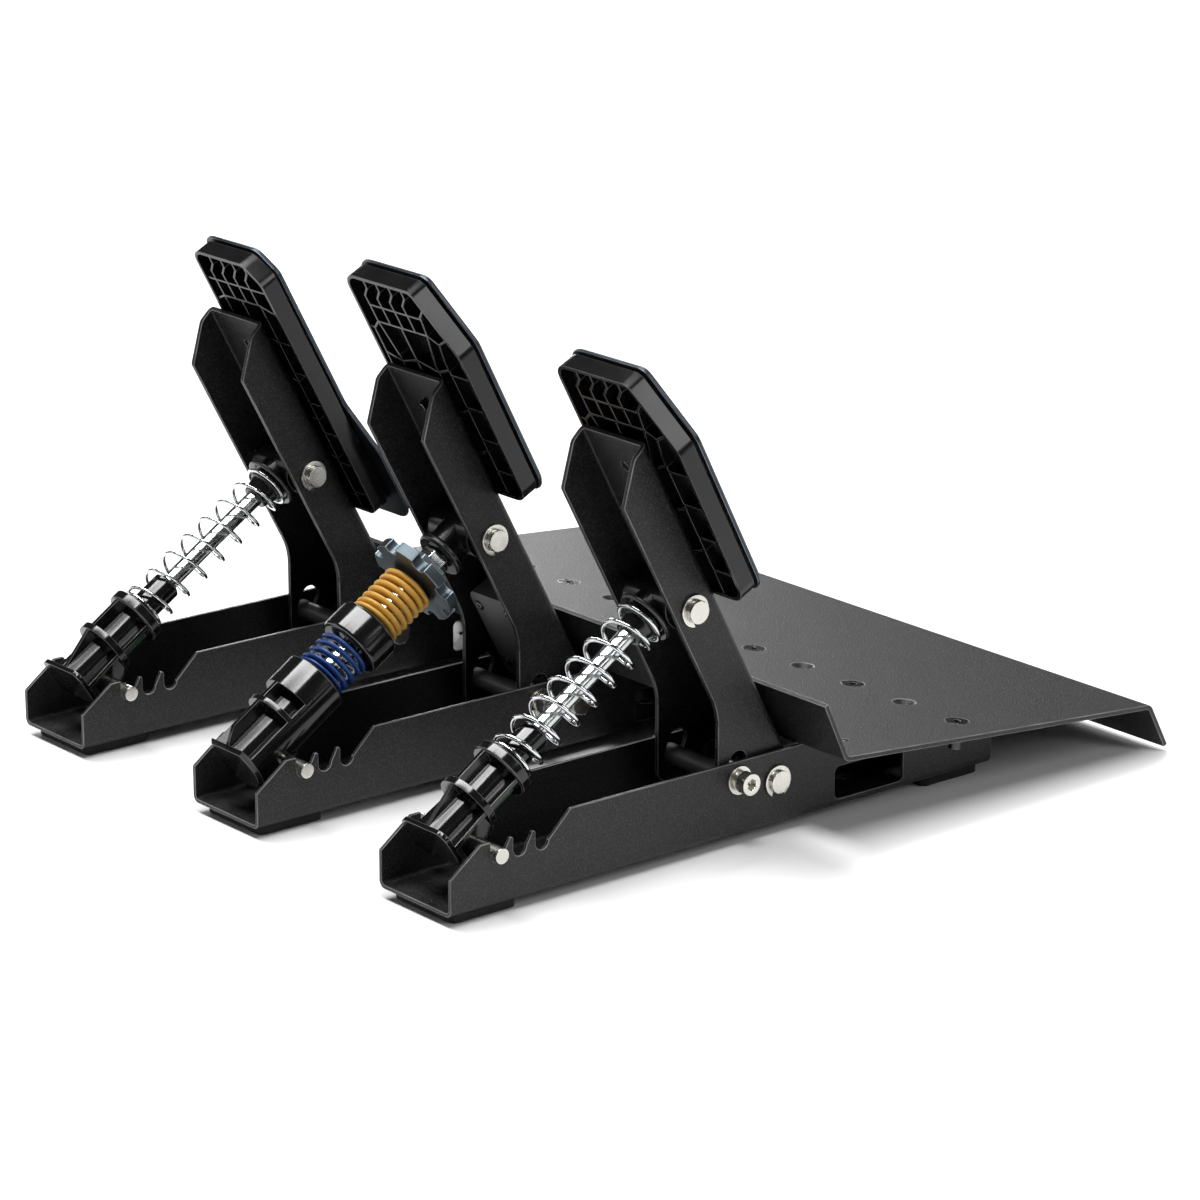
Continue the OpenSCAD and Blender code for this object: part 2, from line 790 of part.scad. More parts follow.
module arm(i) {
    slot_from = atan2(stop_at.y, stop_at.x);
    color(POWDER) on_arm(i) difference() {
        intersection() {
            across(arm_w) arm_profile();
            translate([0, -arm_back, -arm_back])
                linear_extrude(arm_len + arm_back)
                    difference() {
                        tub(arm_w, arm_back + arm_foot + 5, arm_bend);
                        translate([0, arm_t])
                            tub(arm_in, arm_back + arm_foot + 5, arm_bend - arm_t + eps);
                    }
        }
        rod_x(bush_r + 0.02, arm_w + 2);
        translate([0, 0, upper_pin_a]) rod_x(pin_r + run_gap, arm_w + 2);
        across(2 * arm_w) rotate(slot_from) stop_slot();
        for (a = pad_screws_a)
            translate([0, 0, a]) rotate([90, 0, 0])
                cylinder(d = pad_screw_d + 2 * screw_gap, h = arm_back + 1);
        if (i == BRAKE)
            for (p = cover_screws_at)
                translate(p) rotate([90, 0, 0])
                    cylinder(r = cover_screw_d / 2 + run_gap, h = arm_back + 1);
    }
}

module clutch_arm() { arm(CLUTCH); }
module brake_arm() { arm(BRAKE); }
module gas_arm() { arm(GAS); }

// Flanged bushes pressed into an arm's two sides
module pivot_bushes(i) {
    color(NYLON) on_arm(i)
        for (side = [-1, 1])
            mirror([side > 0 ? 0 : 1, 0, 0]) difference() {
                union() {
                    span_x(bush_r, arm_w / 2 - arm_t, arm_w / 2 + eps);
                    span_x(bush_r + 1.5, arm_w / 2, arm_w / 2 + bush_flange_t);
                }
                span_x(pin_r + run_gap, 0, arm_w);
            }
}

module clutch_pivot_bushes() { pivot_bushes(CLUTCH); }
module brake_pivot_bushes() { pivot_bushes(BRAKE); }
module gas_pivot_bushes() { pivot_bushes(GAS); }

module upper_pin(i) { on_arm(i) translate([0, 0, upper_pin_a]) headed_pin(arm_w, 2.4); }
module upper_clip(i) { on_arm(i) translate([0, 0, upper_pin_a]) pin_clip(arm_w); }

module clutch_upper_pin() { upper_pin(CLUTCH); }
module brake_upper_pin() { upper_pin(BRAKE); }
module gas_upper_pin() { upper_pin(GAS); }
module clutch_upper_clip() { upper_clip(CLUTCH); }
module brake_upper_clip() { upper_clip(BRAKE); }
module gas_upper_clip() { upper_clip(GAS); }

// Carrier outline of the brake and clutch pads, anticlockwise, top at a
function wide_pad(top) = [
    [pad_right, top - pad_h, 6],
    [pad_right, top, 7],
    [pad_right - pad_w + pad_cut, top, 5],
    [pad_right - pad_w, top - pad_cut_h, 9],
    [pad_right - pad_w + pad_taper, top - pad_h, 7]
];

// Carrier outline of the gas pad
gas_right = pad_right - 8.5;
gas_outline = [
    [gas_right, gas_pad_top - gas_pad_h, 5],
    [gas_right, gas_pad_top, 6],
    [gas_right - gas_pad_w + 8, gas_pad_top, 6],
    [gas_right - gas_pad_w, gas_pad_top - 9, 6],
    [gas_right - gas_pad_w, gas_pad_top - gas_pad_h, 5]
];

// Face outline of the gas pad, which flares to the left at its lower end
gas_low = gas_pad_top - gas_pad_h - 6.5;
gas_face_left = gas_right - gas_pad_w;
gas_face_outline = [
    [gas_right + 2.5, gas_low, 6],
    [gas_right + 2.5, gas_pad_top + 0.7, 7],
    [gas_face_left + 9, gas_pad_top + 0.7, 7],
    [gas_face_left, gas_pad_top - 9, 7],
    [gas_face_left, gas_low + 58, 14],
    [gas_face_left - gas_flare, gas_low + 35, 10],
    [gas_face_left - gas_flare, gas_low, 8]
];

// A slab that lies on the pad's plane, n from the pivot, t thick
module slab(n, t) {
    translate([0, -n, 0]) rotate([90, 0, 0]) linear_extrude(t) children();
}

// Thin rib along a line of points
module rib(pts) {
    for (k = [0 : len(pts) - 2])
        translate(pts[k])
            rotate(atan2(pts[k + 1].y - pts[k].y, pts[k + 1].x - pts[k].x))
                translate([-carrier_rib / 2, -carrier_rib / 2])
                    square([norm(pts[k + 1] - pts[k]) + carrier_rib, carrier_rib]);
}

// Kinked ribs that hang from the rim's upper edge, the first one at x
module kinked_ribs(x, count, top, low) {
    for (k = [0 : count - 1])
        translate([x - k * rib_pitch, 0])
            rib([[-3.4, top], [-3.4, top - 5.6], [0.4, top - 9.8], [0, low]]);
}

// Ribs of the brake and clutch carriers: kinked above, a fan and a ladder below
module wide_ribs(top) {
    low = top - pad_h;
    right = pad_right - 8.2;
    left = right - 4 * rib_pitch + 0.7;
    bar = top - 22.3;
    ladder = left - 3.8;
    kinked_ribs(right, 4, top, bar);
    rib([[left - 8, top - 6.4], [left - 1.3, top - 13.2], [left, bar]]);
    rib([[right, top - 14.2], [left - 1.3, top - 14.2]]);
    rib([[pad_right, top - 25.5], [right + 4.8, top - 26.4], [right, bar], [left, bar],
        [left - 5.6, bar - 3.2], [left - 15, bar + 2]]);
    rib([[right + 4.8, top - 26.4], [right + 4.8, low]]);
    rib([[right, bar], [right - 3.7, top - 38], [right - 3.7, low]]);
    rib([[right - 14.6, bar], [right - 14.6, low]]);
    rib([[left, bar], [left + 4.3, top - 37.4], [left + 4.3, low]]);
    rib([[left - 5.6, bar - 3.2], [ladder, top - 33], [ladder, low]]);
    for (a = [top - 38 : -20 : low + 8])
        rib([[right + 4.8, a], [right - 3.7, a - 3], [right - 14.6, a], [left + 4.3, a - 3], [ladder, a]]);
    for (a = [top - 40.6 : -15.6 : low + 6])
        rib([[ladder, a], [pad_right - pad_w, a]]);
}

// Ribs of the gas carrier, in the same pattern
module gas_ribs(top) {
    low = top - gas_pad_h;
    right = gas_right - 7.45;
    left = gas_right - gas_pad_w;
    bar = top - 22.3;
    ladder = left + 11;
    kinked_ribs(right, 4, top, bar);
    rib([[gas_right, top - 14.2], [left, top - 14.2]]);
    rib([[gas_right, top - 25.5], [right, bar], [ladder, bar], [left, top - 25.5]]);
    for (x = [right, right - 12, ladder]) rib([[x, bar], [x, low]]);
    for (a = [top - 38 : -20 : low + 8])
        rib([[gas_right, a], [right, a - 3], [right - 12, a], [ladder, a - 3]]);
    for (a = [top - 40.6 : -15.6 : low + 6])
        rib([[ladder, a], [left, a]]);
}

// Carrier: rim and skin, with the ribs given to it open towards the arm
module pad_carrier(i, outline) {
    band = carrier_d - groove_w;
    color(GLOSS) on_arm(i) difference() {
        union() {
            slab(arm_back, band) difference() {
                polygon(rounded(outline));
                polygon(rounded(inset(outline, carrier_rim)));
            }
            slab(arm_back + band - carrier_skin, carrier_skin) polygon(rounded(outline));
            slab(arm_back + band - eps, groove_w + eps) polygon(rounded(inset(outline, groove_w)));
            slab(arm_back + 0.6, band - 0.6 - carrier_skin / 2) intersection() {
                polygon(rounded(inset(outline, carrier_rim / 2)));
                children();
            }
            for (a = pad_screws_a)
                translate([0, 0, a]) slab(arm_back, band - 0.5) circle(pad_screw_d / 2 + 2.5);
        }
        for (a = pad_screws_a)
            translate([0, 1 - arm_back, a]) rotate([90, 0, 0])
                cylinder(r = pad_screw_d / 2 + run_gap, h = carrier_d + 2);
    }
}

module clutch_pad_carrier() { pad_carrier(CLUTCH, wide_pad(clutch_pad_top)) wide_ribs(clutch_pad_top); }
module brake_pad_carrier() { pad_carrier(BRAKE, wide_pad(brake_pad_top)) wide_ribs(brake_pad_top); }
module gas_pad_carrier() { pad_carrier(GAS, gas_outline) gas_ribs(gas_pad_top); }

// Face plate with a stepped edge, seated on the carrier and sunk for its screws
module pad_face(i, outline) {
    n = arm_back + carrier_d;
    hole = pad_screw_d + 2 * screw_gap;
    sink = (pad_head_d - hole) / 2;
    color(SLATE) on_arm(i) difference() {
        union() {
            slab(n, face_t - 1) polygon(rounded(outline));
            slab(n + face_t - 1 - eps, 1 + eps) polygon(rounded(inset(outline, 1)));
        }
        for (a = pad_screws_a)
            translate([0, -n - face_t, a]) rotate([90, 0, 0]) {
                translate([0, 0, -face_t - 1]) cylinder(d = hole, h = face_t + 2);
                translate([0, 0, -sink]) cylinder(d1 = hole, d2 = pad_head_d + 0.4, h = sink + 0.2);
            }
    }
}

module clutch_pad_face() { pad_face(CLUTCH, inset(wide_pad(clutch_pad_top), -face_lip)); }
module brake_pad_face() { pad_face(BRAKE, inset(wide_pad(brake_pad_top), -face_lip)); }
module gas_pad_face() { pad_face(GAS, gas_face_outline); }

// Countersunk screws from the pad's face through carrier and web
module pad_screws(i) {
    front = arm_back + carrier_d + face_t;
    proud = i == BRAKE ? pad_screw_proud : 0;
    color(BLACKED) on_arm(i)
        for (a = pad_screws_a)
            translate([0, -front, a]) rotate([90, 0, 0])
                sunk_screw(pad_screw_d, pad_head_d, front - web_in + proud, pad_screw_d * 0.6);
}

module clutch_pad_screws() { pad_screws(CLUTCH); }
module brake_pad_screws() { pad_screws(BRAKE); }
module gas_pad_screws() { pad_screws(GAS); }

// Round-head screw along -Y: the head sits on the web's inner face
module web_screw(d, length) {
    translate([0, -web_in, 0]) rotate([90, 0, 0]) {
        translate([0, 0, -eps]) cylinder(d = d, h = length + eps);
        difference() {
            translate([0, 0, -0.6 * d]) cylinder(d1 = d * 1.5, d2 = d * 1.9, h = 0.6 * d);
            translate([0, 0, -0.7 * d]) cylinder(d = d * 0.8, h = 0.5 * d, $fn = 6);
        }
    }
}

// Sensor cover: a round-cornered box on the web of the brake arm's channel
cover_low = 8.5;
cover_face = arm_front - 4.2;
cover_r = 5;
cover_screws_at = [for (
    x = [-cover_screw_x, cover_screw_x],
    a = [cover_low + (cover_len - cover_screw_gap) / 2, cover_low + (cover_len + cover_screw_gap) / 2]
) [x, 0, a]];

// Round-cornered block in the channel, y is its front face and d its depth
module cover_block(y, d, wall) {
    translate([wall - cover_w / 2, y, cover_low + wall])
        rotate([90, 0, 0])
            linear_extrude(d) round_rect(cover_w - 2 * wall, cover_len - 2 * wall, cover_r - wall);
}

module brake_sensor_cover() {
    d = cover_face + web_in;
    boss_r = cover_screw_d / 2 + 1.2;
    color(GLOSS) on_arm(BRAKE) difference() {
        union() {
            difference() {
                cover_block(cover_face, d, 0);
                cover_block(cover_face - cover_wall, d, cover_wall);
            }
            for (p = cover_screws_at)
                translate(p + [0, cover_face - 1, 0]) rotate([90, 0, 0]) cylinder(r = boss_r, h = d - 1);
        }
        for (p = cover_screws_at)
            translate(p + [0, cover_face + 1, 0]) rotate([90, 0, 0]) {
                cylinder(r = cover_screw_d / 2 + screw_gap, h = d + 2);
                cylinder(d = cover_screw_d * 1.9 + 0.4, h = 2);
            }
    }
}

module brake_cover_screws() {
    length = cover_face + arm_back;
    color(BLACKED) on_arm(BRAKE)
        for (p = cover_screws_at)
            translate(p + [0, cover_face - 1 + web_in, 0]) web_screw(cover_screw_d, length);
}

// Board with the brake's force sensor, flat on the web under the cover
module brake_sensor_board() {
    room = cover_wall + 0.5;
    color(BOARD) on_arm(BRAKE) difference() {
        translate([room - cover_w / 2, -web_in, cover_low + room])
            cube([cover_w - 2 * room, 1.6, cover_len - 2 * room]);
        for (p = cover_screws_at)
            translate(p) rotate([90, 0, 0])
                cylinder(r = cover_screw_d / 2 + 1.6, h = web_in + 1);
        for (x = [-1, 1], a = [cover_low, cover_low + cover_len])
            translate([x * cover_w / 2, -web_in, a]) rotate([90, 0, 0])
                cylinder(r = cover_r, h = 8, center = true);
    }
}

// Ear under the housing that carries the lower pin
module pin_ear(core_r) {
    w = 20;
    r = low_pin_r + 3.2;
    translate([0, -strut_off, 0]) {
        rod_x(r, w);
        translate([-w / 2, 0, -r]) cube([w, strut_off - core_r * 0.5, 2 * r]);
    }
}

// Bores of a housing: for the rod from the top, for the lower pin across
module housing_bores(rod_r, low, high) {
    translate([0, 0, low]) cylinder(r = rod_r, h = high - low);
    translate([0, -strut_off, 0]) rod_x(low_pin_r + run_gap, 40);
}

// Clutch and gas housing: core with two collars, three fins and a foot plate
mid_s = 8.6;
mid_t = 3;
top_t = 4.8;

module housing(i) {
    core_r = sleeve_d / 2 + 0.5;
    r = collar_d / 2;
    top = seat_s + sleeve_len;
    bay = seat_s - top_t;
    side = [
        [0, house_end], [r + 0.7, house_end], [r + 0.7, house_end + 3],
        [r - 0.5, mid_s], [r - 0.7, bay], [0, bay]
    ];
    color(GLOSS) on_strut(i) difference() {
        union() {
            rotate_extrude() polygon([
                [0, house_end], [core_r, house_end], [core_r, mid_s], [r, mid_s],
                [r, mid_s + mid_t], [core_r, mid_s + mid_t], [core_r, bay],
                [r - 0.6, bay], [r, bay + 0.6], [r, seat_s - 0.6], [r - 0.6, seat_s],
                [sleeve_d / 2, seat_s], [sleeve_d / 2, top - 1], [sleeve_d / 2 - 1, top], [0, top]
            ]);
            translate([-r - 0.7, -8.5, house_end]) linear_extrude(2) round_rect(2 * r + 1.4, 17, 4);
            for (turn = [0, 180])
                rotate([90, 0, turn]) translate([0, 0, -fin_t / 2]) linear_extrude(fin_t) polygon(side);
            across(fin_t) polygon([
                [0, house_end], [core_r, house_end + 2], [r - 0.4, mid_s], [r - 0.2, bay], [0, bay]
            ]);
            for (x = [-9, 9])
                translate([x, 0, 0]) across(2) polygon([
                    [-1, mid_s + 1], [-8, mid_s + 1], [-strut_off - 3, 4], [-strut_off, 0], [-1, 0]
                ]);
            pin_ear(core_r);
        }
        housing_bores(rod_d / 2 + run_gap, bore_end, top + 1);
        translate([-5.2, -core_r - 6, mid_s + mid_t]) cube([10.4, 6.6, bay - mid_s - mid_t]);
    }
}

module clutch_housing() { housing(CLUTCH); }
module gas_housing() { housing(GAS); }

// Window beside the brake housing's top fin, between two stations
module side_window(r, core_r, s0, s1) {
    reach = 2 * r;
    for (side = [0, 1])
        mirror([side, 0, 0]) translate([0, 0, s0]) linear_extrude(s1 - s0) difference() {
            intersection() {
                circle(r + 2);
                polygon([[0, 0], [reach * sin(68), reach * cos(68)], [reach, reach], [0, reach]]);
                translate([fin_t / 2, 0]) square(reach);
            }
            circle(core_r);
        }
}

// Brake housing: smooth barrel with windows on both sides of a top fin
module brake_housing() {
    r = brake_collar_d / 2;
    core_r = brake_rod_d / 2 + 3.5;
    neck = brake_rod_d / 2 + 2;
    top = brake_seat_s + 5;
    color(GLOSS) on_strut(BRAKE) difference() {
        union() {
            rotate_extrude() polygon([
                [0, brake_end], [r - 1.5, brake_end], [r, brake_end + 1.5], [r, brake_seat_s - 0.8],
                [r - 0.8, brake_seat_s], [neck, brake_seat_s], [neck, top], [0, top]
            ]);
            pin_ear(core_r);
        }
        side_window(r, core_r, 11, 18.6);
        side_window(r, core_r, brake_end + 2, 8.6);
        across(2 * r + 2) polygon([
            [r + 2, -5], [r + 0.5, -5], [core_r + 0.5, brake_end + 0.6], [core_r + 0.5, brake_end - 1], [r + 2, brake_end - 1]
        ]);
        housing_bores(brake_rod_d / 2 + run_gap, bore_end, top + 1);
    }
}

// Sensor board in the pocket between a housing's collars
module sensor_board(i) {
    low = mid_s + mid_t + 0.4;
    color(BOARD) on_strut(i)
        translate([-4.8, -(sleeve_d + 1) / 2 - 1, low])
            cube([9.6, 1.6, seat_s - top_t - 0.4 - low]);
}

module clutch_sensor_board() { sensor_board(CLUTCH); }
module gas_sensor_board() { sensor_board(GAS); }

// Bright rod that slides in the sleeve, drilled for the magnet at its lower end
module rod(i) {
    color(ZINC) on_strut(i) difference() {
        translate([0, 0, rod_low]) cylinder(d = rod_d, h = rod_high - rod_low);
        translate([0, 0, rod_low - 1]) cylinder(d = rod_d - 2, h = 6);
    }
}

module clutch_rod() { rod(CLUTCH); }
module gas_rod() { rod(GAS); }

module rod_magnet(i) {
    color(NICKEL) on_strut(i)
        translate([0, 0, rod_low]) cylinder(r = rod_d / 2 - 1 - run_gap, h = 5);
}

module clutch_rod_magnet() { rod_magnet(CLUTCH); }
module gas_rod_magnet() { rod_magnet(GAS); }

// Eye across the strut's top that takes the upper pin
module eye() {
    translate([0, 0, strut_len]) rod_x(eye_out_r, eye_w);
}

module eye_bore() {
    translate([0, 0, strut_len]) rod_x(eye_r, eye_w + 2);
}

// Rod end: spigot inside the spring, flange above it, eye on the upper pin
module rod_end(i) {
    hub_r = eye_out_r - 0.4;
    inside = spring_d / 2 - clutch_wire / 2 - 0.6;
    color(GLOSS) on_strut(i) difference() {
        union() {
            rotate_extrude() polygon([
                [0, cap_s - spigot_len], [inside - 2.4, cap_s - spigot_len], [inside - 1, cap_s - 3],
                [inside, cap_s - 2.6], [inside, cap_s], [cap_d / 2 - 0.6, cap_s], [cap_d / 2, cap_s + 0.6],
                [cap_d / 2, cap_s + cap_t - 0.8], [hub_r, cap_s + cap_t], [hub_r, strut_len], [0, strut_len]
            ]);
            eye();
        }
        translate([0, 0, cap_s - spigot_len - 1])
            cylinder(r = rod_d / 2 + run_gap, h = rod_high - cap_s + spigot_len + 1);
        eye_bore();
    }
}

module clutch_rod_end() { rod_end(CLUTCH); }
module gas_rod_end() { rod_end(GAS); }

// Height at turn t of a coil with closed ends: n turns in the length h
function coil_z(t, n, h, wire) =
    let (close = wire + 0.5, open = (h - wire - 2 * close) / (n - 2))
    wire / 2 + (t < 1 ? t * close : t > n - 1 ? close + (n - 2) * open + (t - n + 1) * close : close + (t - 1) * open);

// Centre line of a coil, eight points to a turn
function coil(n, r, h, wire) =
    [for (k = [0 : 8 * n])
        let (t = k / 8) [r * cos(360 * t), r * sin(360 * t), coil_z(t, n, h, wire)]];

// Least distance between the wire and its own next turn
function coil_gap(pts, wire) =
    min([for (i = [0 : len(pts) - 7], j = [i + 6 : min(i + 10, len(pts) - 1)]) norm(pts[i] - pts[j])]) - wire;

// Wire of width w and height h, swept along a coil's centre line
module wire_sweep(pts, w, h) {
    m = len(pts);
    rings = [for (p = pts)
        let (out = unit([p.x, p.y, 0]))
        each [for (k = [0 : 5]) p + out * (w / 2 * cos(60 * k)) + [0, 0, h / 2 * sin(60 * k)]]];
    sides = [for (i = [0 : m - 2], k = [0 : 5])
        let (a = 6 * i + k, b = 6 * i + (k + 1) % 6)
        each [[a, b, b + 6], [a, b + 6, a + 6]]];
    ends = [for (k = [1 : 4]) each [[0, k + 1, k], [6 * (m - 1), 6 * (m - 1) + k, 6 * (m - 1) + k + 1]]];
    polyhedron(rings, concat(sides, ends));
}

module coil_spring(i, name, s, length, turns, d, w, h) {
    pts = coil(turns, d / 2, length - 2 * seat_gap, h);
    echo(str(name, " least gap to itself: ", coil_gap(pts, h), " mm"));
    on_strut(i) translate([0, 0, s + seat_gap]) wire_sweep(pts, w, h);
}

module clutch_spring() {
    color(ZINC)
        coil_spring(CLUTCH, "clutch_spring", seat_s, cap_s - seat_s, spring_turns, spring_d, clutch_wire, clutch_wire);
}
module gas_spring() {
    color(ZINC)
        coil_spring(GAS, "gas_spring", seat_s, cap_s - seat_s, spring_turns, spring_d, gas_wire, gas_wire);
}
module brake_lower_spring() {
    color(BLUE)
        coil_spring(BRAKE, "brake_lower_spring", low_spring_s, low_spring_len, low_spring_turns,
            die_d, die_wire_w, die_wire_h);
}
module brake_upper_spring() {
    color(GOLD)
        coil_spring(BRAKE, "brake_upper_spring", up_spring_s, up_spring_len, up_spring_turns,
            die_d, die_wire_w, die_wire_h);
}

// Spacer cup between the two brake springs
module brake_spacer() {
    r = cup_d / 2;
    bore = brake_rod_d / 2 + free_gap;
    color(GLOSS) on_strut(BRAKE) translate([0, 0, spacer_s]) rotate_extrude() polygon([
        [bore, 0], [r - 1.6, 0], [r - 0.4, 0.5], [r, 1.6], [r, spacer_len - 1.6],
        [r - 0.4, spacer_len - 0.5], [r - 1.6, spacer_len], [bore, spacer_len]
    ]);
}

// Notched wheel with a hexagon, which sets the springs' preload
module brake_preload_wheel() {
    notch_w = wheel_d * 0.15;
    color(SLATE) on_strut(BRAKE) translate([0, 0, wheel_s]) difference() {
        union() {
            cylinder(d = wheel_d, h = wheel_t);
            translate([0, 0, wheel_t - eps]) cylinder(d = 18 / cos(30), h = hex_h + eps, $fn = 6);
        }
        translate([0, 0, -1]) cylinder(r = brake_rod_d / 2 + run_gap, h = wheel_t + hex_h + 2);
        for (k = [0 : wheel_notches - 1])
            rotate([0, 0, k * 360 / wheel_notches])
                translate([wheel_d / 2 - 0.8, 0, -1]) {
                    cylinder(r = notch_w / 2, h = wheel_t + 2);
                    translate([0, -notch_w / 2, 0]) cube([wheel_d, notch_w, wheel_t + 2]);
                }
    }
}

module brake_rod() {
    color(ZINC) on_strut(BRAKE) {
        translate([0, 0, rod_low]) cylinder(d = brake_rod_d, h = skirt_s + 0.6 * brake_rod_d - rod_low);
        translate([0, 0, wheel_s + wheel_t + hex_h + 1.2])
            cylinder(d = 1.375 * brake_rod_d / cos(30), h = brake_rod_d / 2, $fn = 6);
    }
}

// Brake rod end: a flange over the rod's end, a body and a round eye on the upper pin
module brake_rod_end() {
    r = rod_end_d / 2;
    body_r = eye_out_r - 0.3;
    socket = 0.65 * brake_rod_d;
    color(GLOSS) on_strut(BRAKE) difference() {
        union() {
            rotate_extrude() polygon([
                [0, skirt_s], [r - 0.8, skirt_s], [r, skirt_s + 0.8], [r, skirt_s + 2.4],
                [r - 0.8, skirt_s + 3.2], [body_r, skirt_s + 3.4], [body_r, strut_len], [0, strut_len]
            ]);
            eye();
        }
        translate([0, 0, skirt_s - 1]) cylinder(r = brake_rod_d / 2 + run_gap, h = socket + 1);
        eye_bore();
    }
}

heel_plate();
heel_plate_screws();
heel_plate_nuts();
locating_pins();
clutch_rail();
brake_rail();
gas_rail();
front_feet();
rear_feet();
stop_bolts();
stop_washers();
stop_sleeves();
stop_nuts();
pivot_pins();
pivot_clips();
strut_pins();
clutch_arm();
clutch_pivot_bushes();
clutch_pad_carrier();
clutch_pad_face();
clutch_pad_screws();
clutch_upper_pin();
clutch_upper_clip();
brake_arm();
brake_pivot_bushes();
brake_pad_carrier();
brake_pad_face();
brake_pad_screws();
brake_upper_pin();
brake_upper_clip();
brake_sensor_cover();
brake_cover_screws();
brake_sensor_board();
gas_arm();
gas_pivot_bushes();
gas_pad_carrier();
gas_pad_face();
gas_pad_screws();
gas_upper_pin();
gas_upper_clip();
clutch_housing();
clutch_sensor_board();
clutch_spring();
clutch_rod();
clutch_rod_magnet();
clutch_rod_end();
gas_housing();
gas_sensor_board();
gas_spring();
gas_rod();
gas_rod_magnet();
gas_rod_end();
brake_housing();
brake_lower_spring();
brake_spacer();
brake_upper_spring();
brake_preload_wheel();
brake_rod();
brake_rod_end();
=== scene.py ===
# Three-pedal floor unit for driving simulators, dressed and lit for its picture.
# Metres, +X the driver's right, +Y away from the driver, +Z up, floor at Z 0.
import json
import math

import bpy
from mathutils import Matrix, Vector

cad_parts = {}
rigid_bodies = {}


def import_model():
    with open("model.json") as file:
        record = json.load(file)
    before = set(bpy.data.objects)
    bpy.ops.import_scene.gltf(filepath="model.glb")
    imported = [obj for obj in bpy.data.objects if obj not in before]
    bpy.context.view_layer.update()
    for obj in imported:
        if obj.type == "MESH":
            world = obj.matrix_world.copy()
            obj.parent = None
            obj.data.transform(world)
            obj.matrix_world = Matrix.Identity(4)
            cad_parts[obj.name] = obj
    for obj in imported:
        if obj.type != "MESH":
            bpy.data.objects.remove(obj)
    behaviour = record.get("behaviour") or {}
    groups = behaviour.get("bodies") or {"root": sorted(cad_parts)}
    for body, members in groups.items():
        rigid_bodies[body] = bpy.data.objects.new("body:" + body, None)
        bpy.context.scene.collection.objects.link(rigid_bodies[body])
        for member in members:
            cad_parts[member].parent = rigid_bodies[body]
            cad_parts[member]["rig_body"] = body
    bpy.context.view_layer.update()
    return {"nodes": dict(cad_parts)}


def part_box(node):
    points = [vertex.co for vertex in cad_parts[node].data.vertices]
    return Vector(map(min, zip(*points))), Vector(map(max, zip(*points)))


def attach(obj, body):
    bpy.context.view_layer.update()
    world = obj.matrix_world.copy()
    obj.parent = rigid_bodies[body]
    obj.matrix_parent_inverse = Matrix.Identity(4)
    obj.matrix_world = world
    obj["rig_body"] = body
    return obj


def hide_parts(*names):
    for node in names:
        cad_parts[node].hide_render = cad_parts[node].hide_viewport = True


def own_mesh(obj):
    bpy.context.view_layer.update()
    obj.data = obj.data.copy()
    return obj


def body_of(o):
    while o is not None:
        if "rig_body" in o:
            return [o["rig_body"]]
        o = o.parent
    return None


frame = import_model()

# Camera: a long lens at the front left of the unit, a little above it.
# The picture is square, and the unit stands in its middle on white paper.
camera_at = Vector((-1.3428, 1.0881, 0.5926))
camera_towards = Vector((0.738, -0.606, -0.296))
lens_mm = 134.8
film_mm = 36

camera_turn = camera_towards.to_track_quat("-Z", "Y").to_euler()
bpy.ops.object.camera_add(location=camera_at, rotation=camera_turn)
camera = bpy.context.object
camera.data.sensor_width = film_mm
camera.data.lens = lens_mm
camera.data.dof.use_dof = False
bpy.context.scene.camera = camera

# Studio: white paper on the floor of a dim room. A long soft box overhead draws
# the crisp lights on the glossy pieces, a square one keeps the paper white, a low
# one shades the heel plate from pale to dark, and three weak ones open up the sides.
room_light = 0.06
floor_size = 24
floor_drop = 0.0002
paper_clouds_per_metre = 3
paper_low = (0.93, 0.93, 0.93)
paper_high = (0.95, 0.95, 0.95)

bpy.context.scene.view_settings.view_transform = "Standard"
room = bpy.data.worlds.new("dim_room")
room.use_nodes = True
room.node_tree.nodes["Background"].inputs["Color"].default_value = (1.0, 1.0, 1.0, 1)
room.node_tree.nodes["Background"].inputs["Strength"].default_value = room_light
bpy.context.scene.world = room

bpy.ops.mesh.primitive_plane_add(size=floor_size, location=(0, 0, -floor_drop))
floor = bpy.context.object
floor.name = "white_floor"
paper = bpy.data.materials.new("floor_paper")
paper.use_nodes = True
paper_nodes = paper.node_tree.nodes
paper_links = paper.node_tree.links
paper_shader = paper_nodes["Principled BSDF"]
paper_shader.inputs["Roughness"].default_value = 0.7
paper_shader.inputs["Specular IOR Level"].default_value = 0.2
paper_place = paper_nodes.new("ShaderNodeTexCoord")
paper_fibre = paper_nodes.new("ShaderNodeTexNoise")
paper_fibre.inputs["Scale"].default_value = paper_clouds_per_metre
paper_tone = paper_nodes.new("ShaderNodeMix")
paper_tone.data_type = "RGBA"
paper_tone.inputs["A"].default_value = (*paper_low, 1)
paper_tone.inputs["B"].default_value = (*paper_high, 1)
paper_links.new(paper_place.outputs["Object"], paper_fibre.inputs["Vector"])
paper_links.new(paper_fibre.outputs["Fac"], paper_tone.inputs["Factor"])
paper_links.new(paper_tone.outputs["Result"], paper_shader.inputs["Base Color"])
floor.data.materials.append(paper)


def soft_box(name, place, aim, size, watts):
    """A soft box at a place, turned to a point."""
    turn = (Vector(aim) - Vector(place)).to_track_quat("-Z", "Y").to_euler()
    bpy.ops.object.light_add(type="AREA", location=place, rotation=turn)
    lamp = bpy.context.object
    lamp.name = name
    lamp.data.shape = "RECTANGLE"
    lamp.data.size = size[0]
    lamp.data.size_y = size[1]
    lamp.data.energy = watts


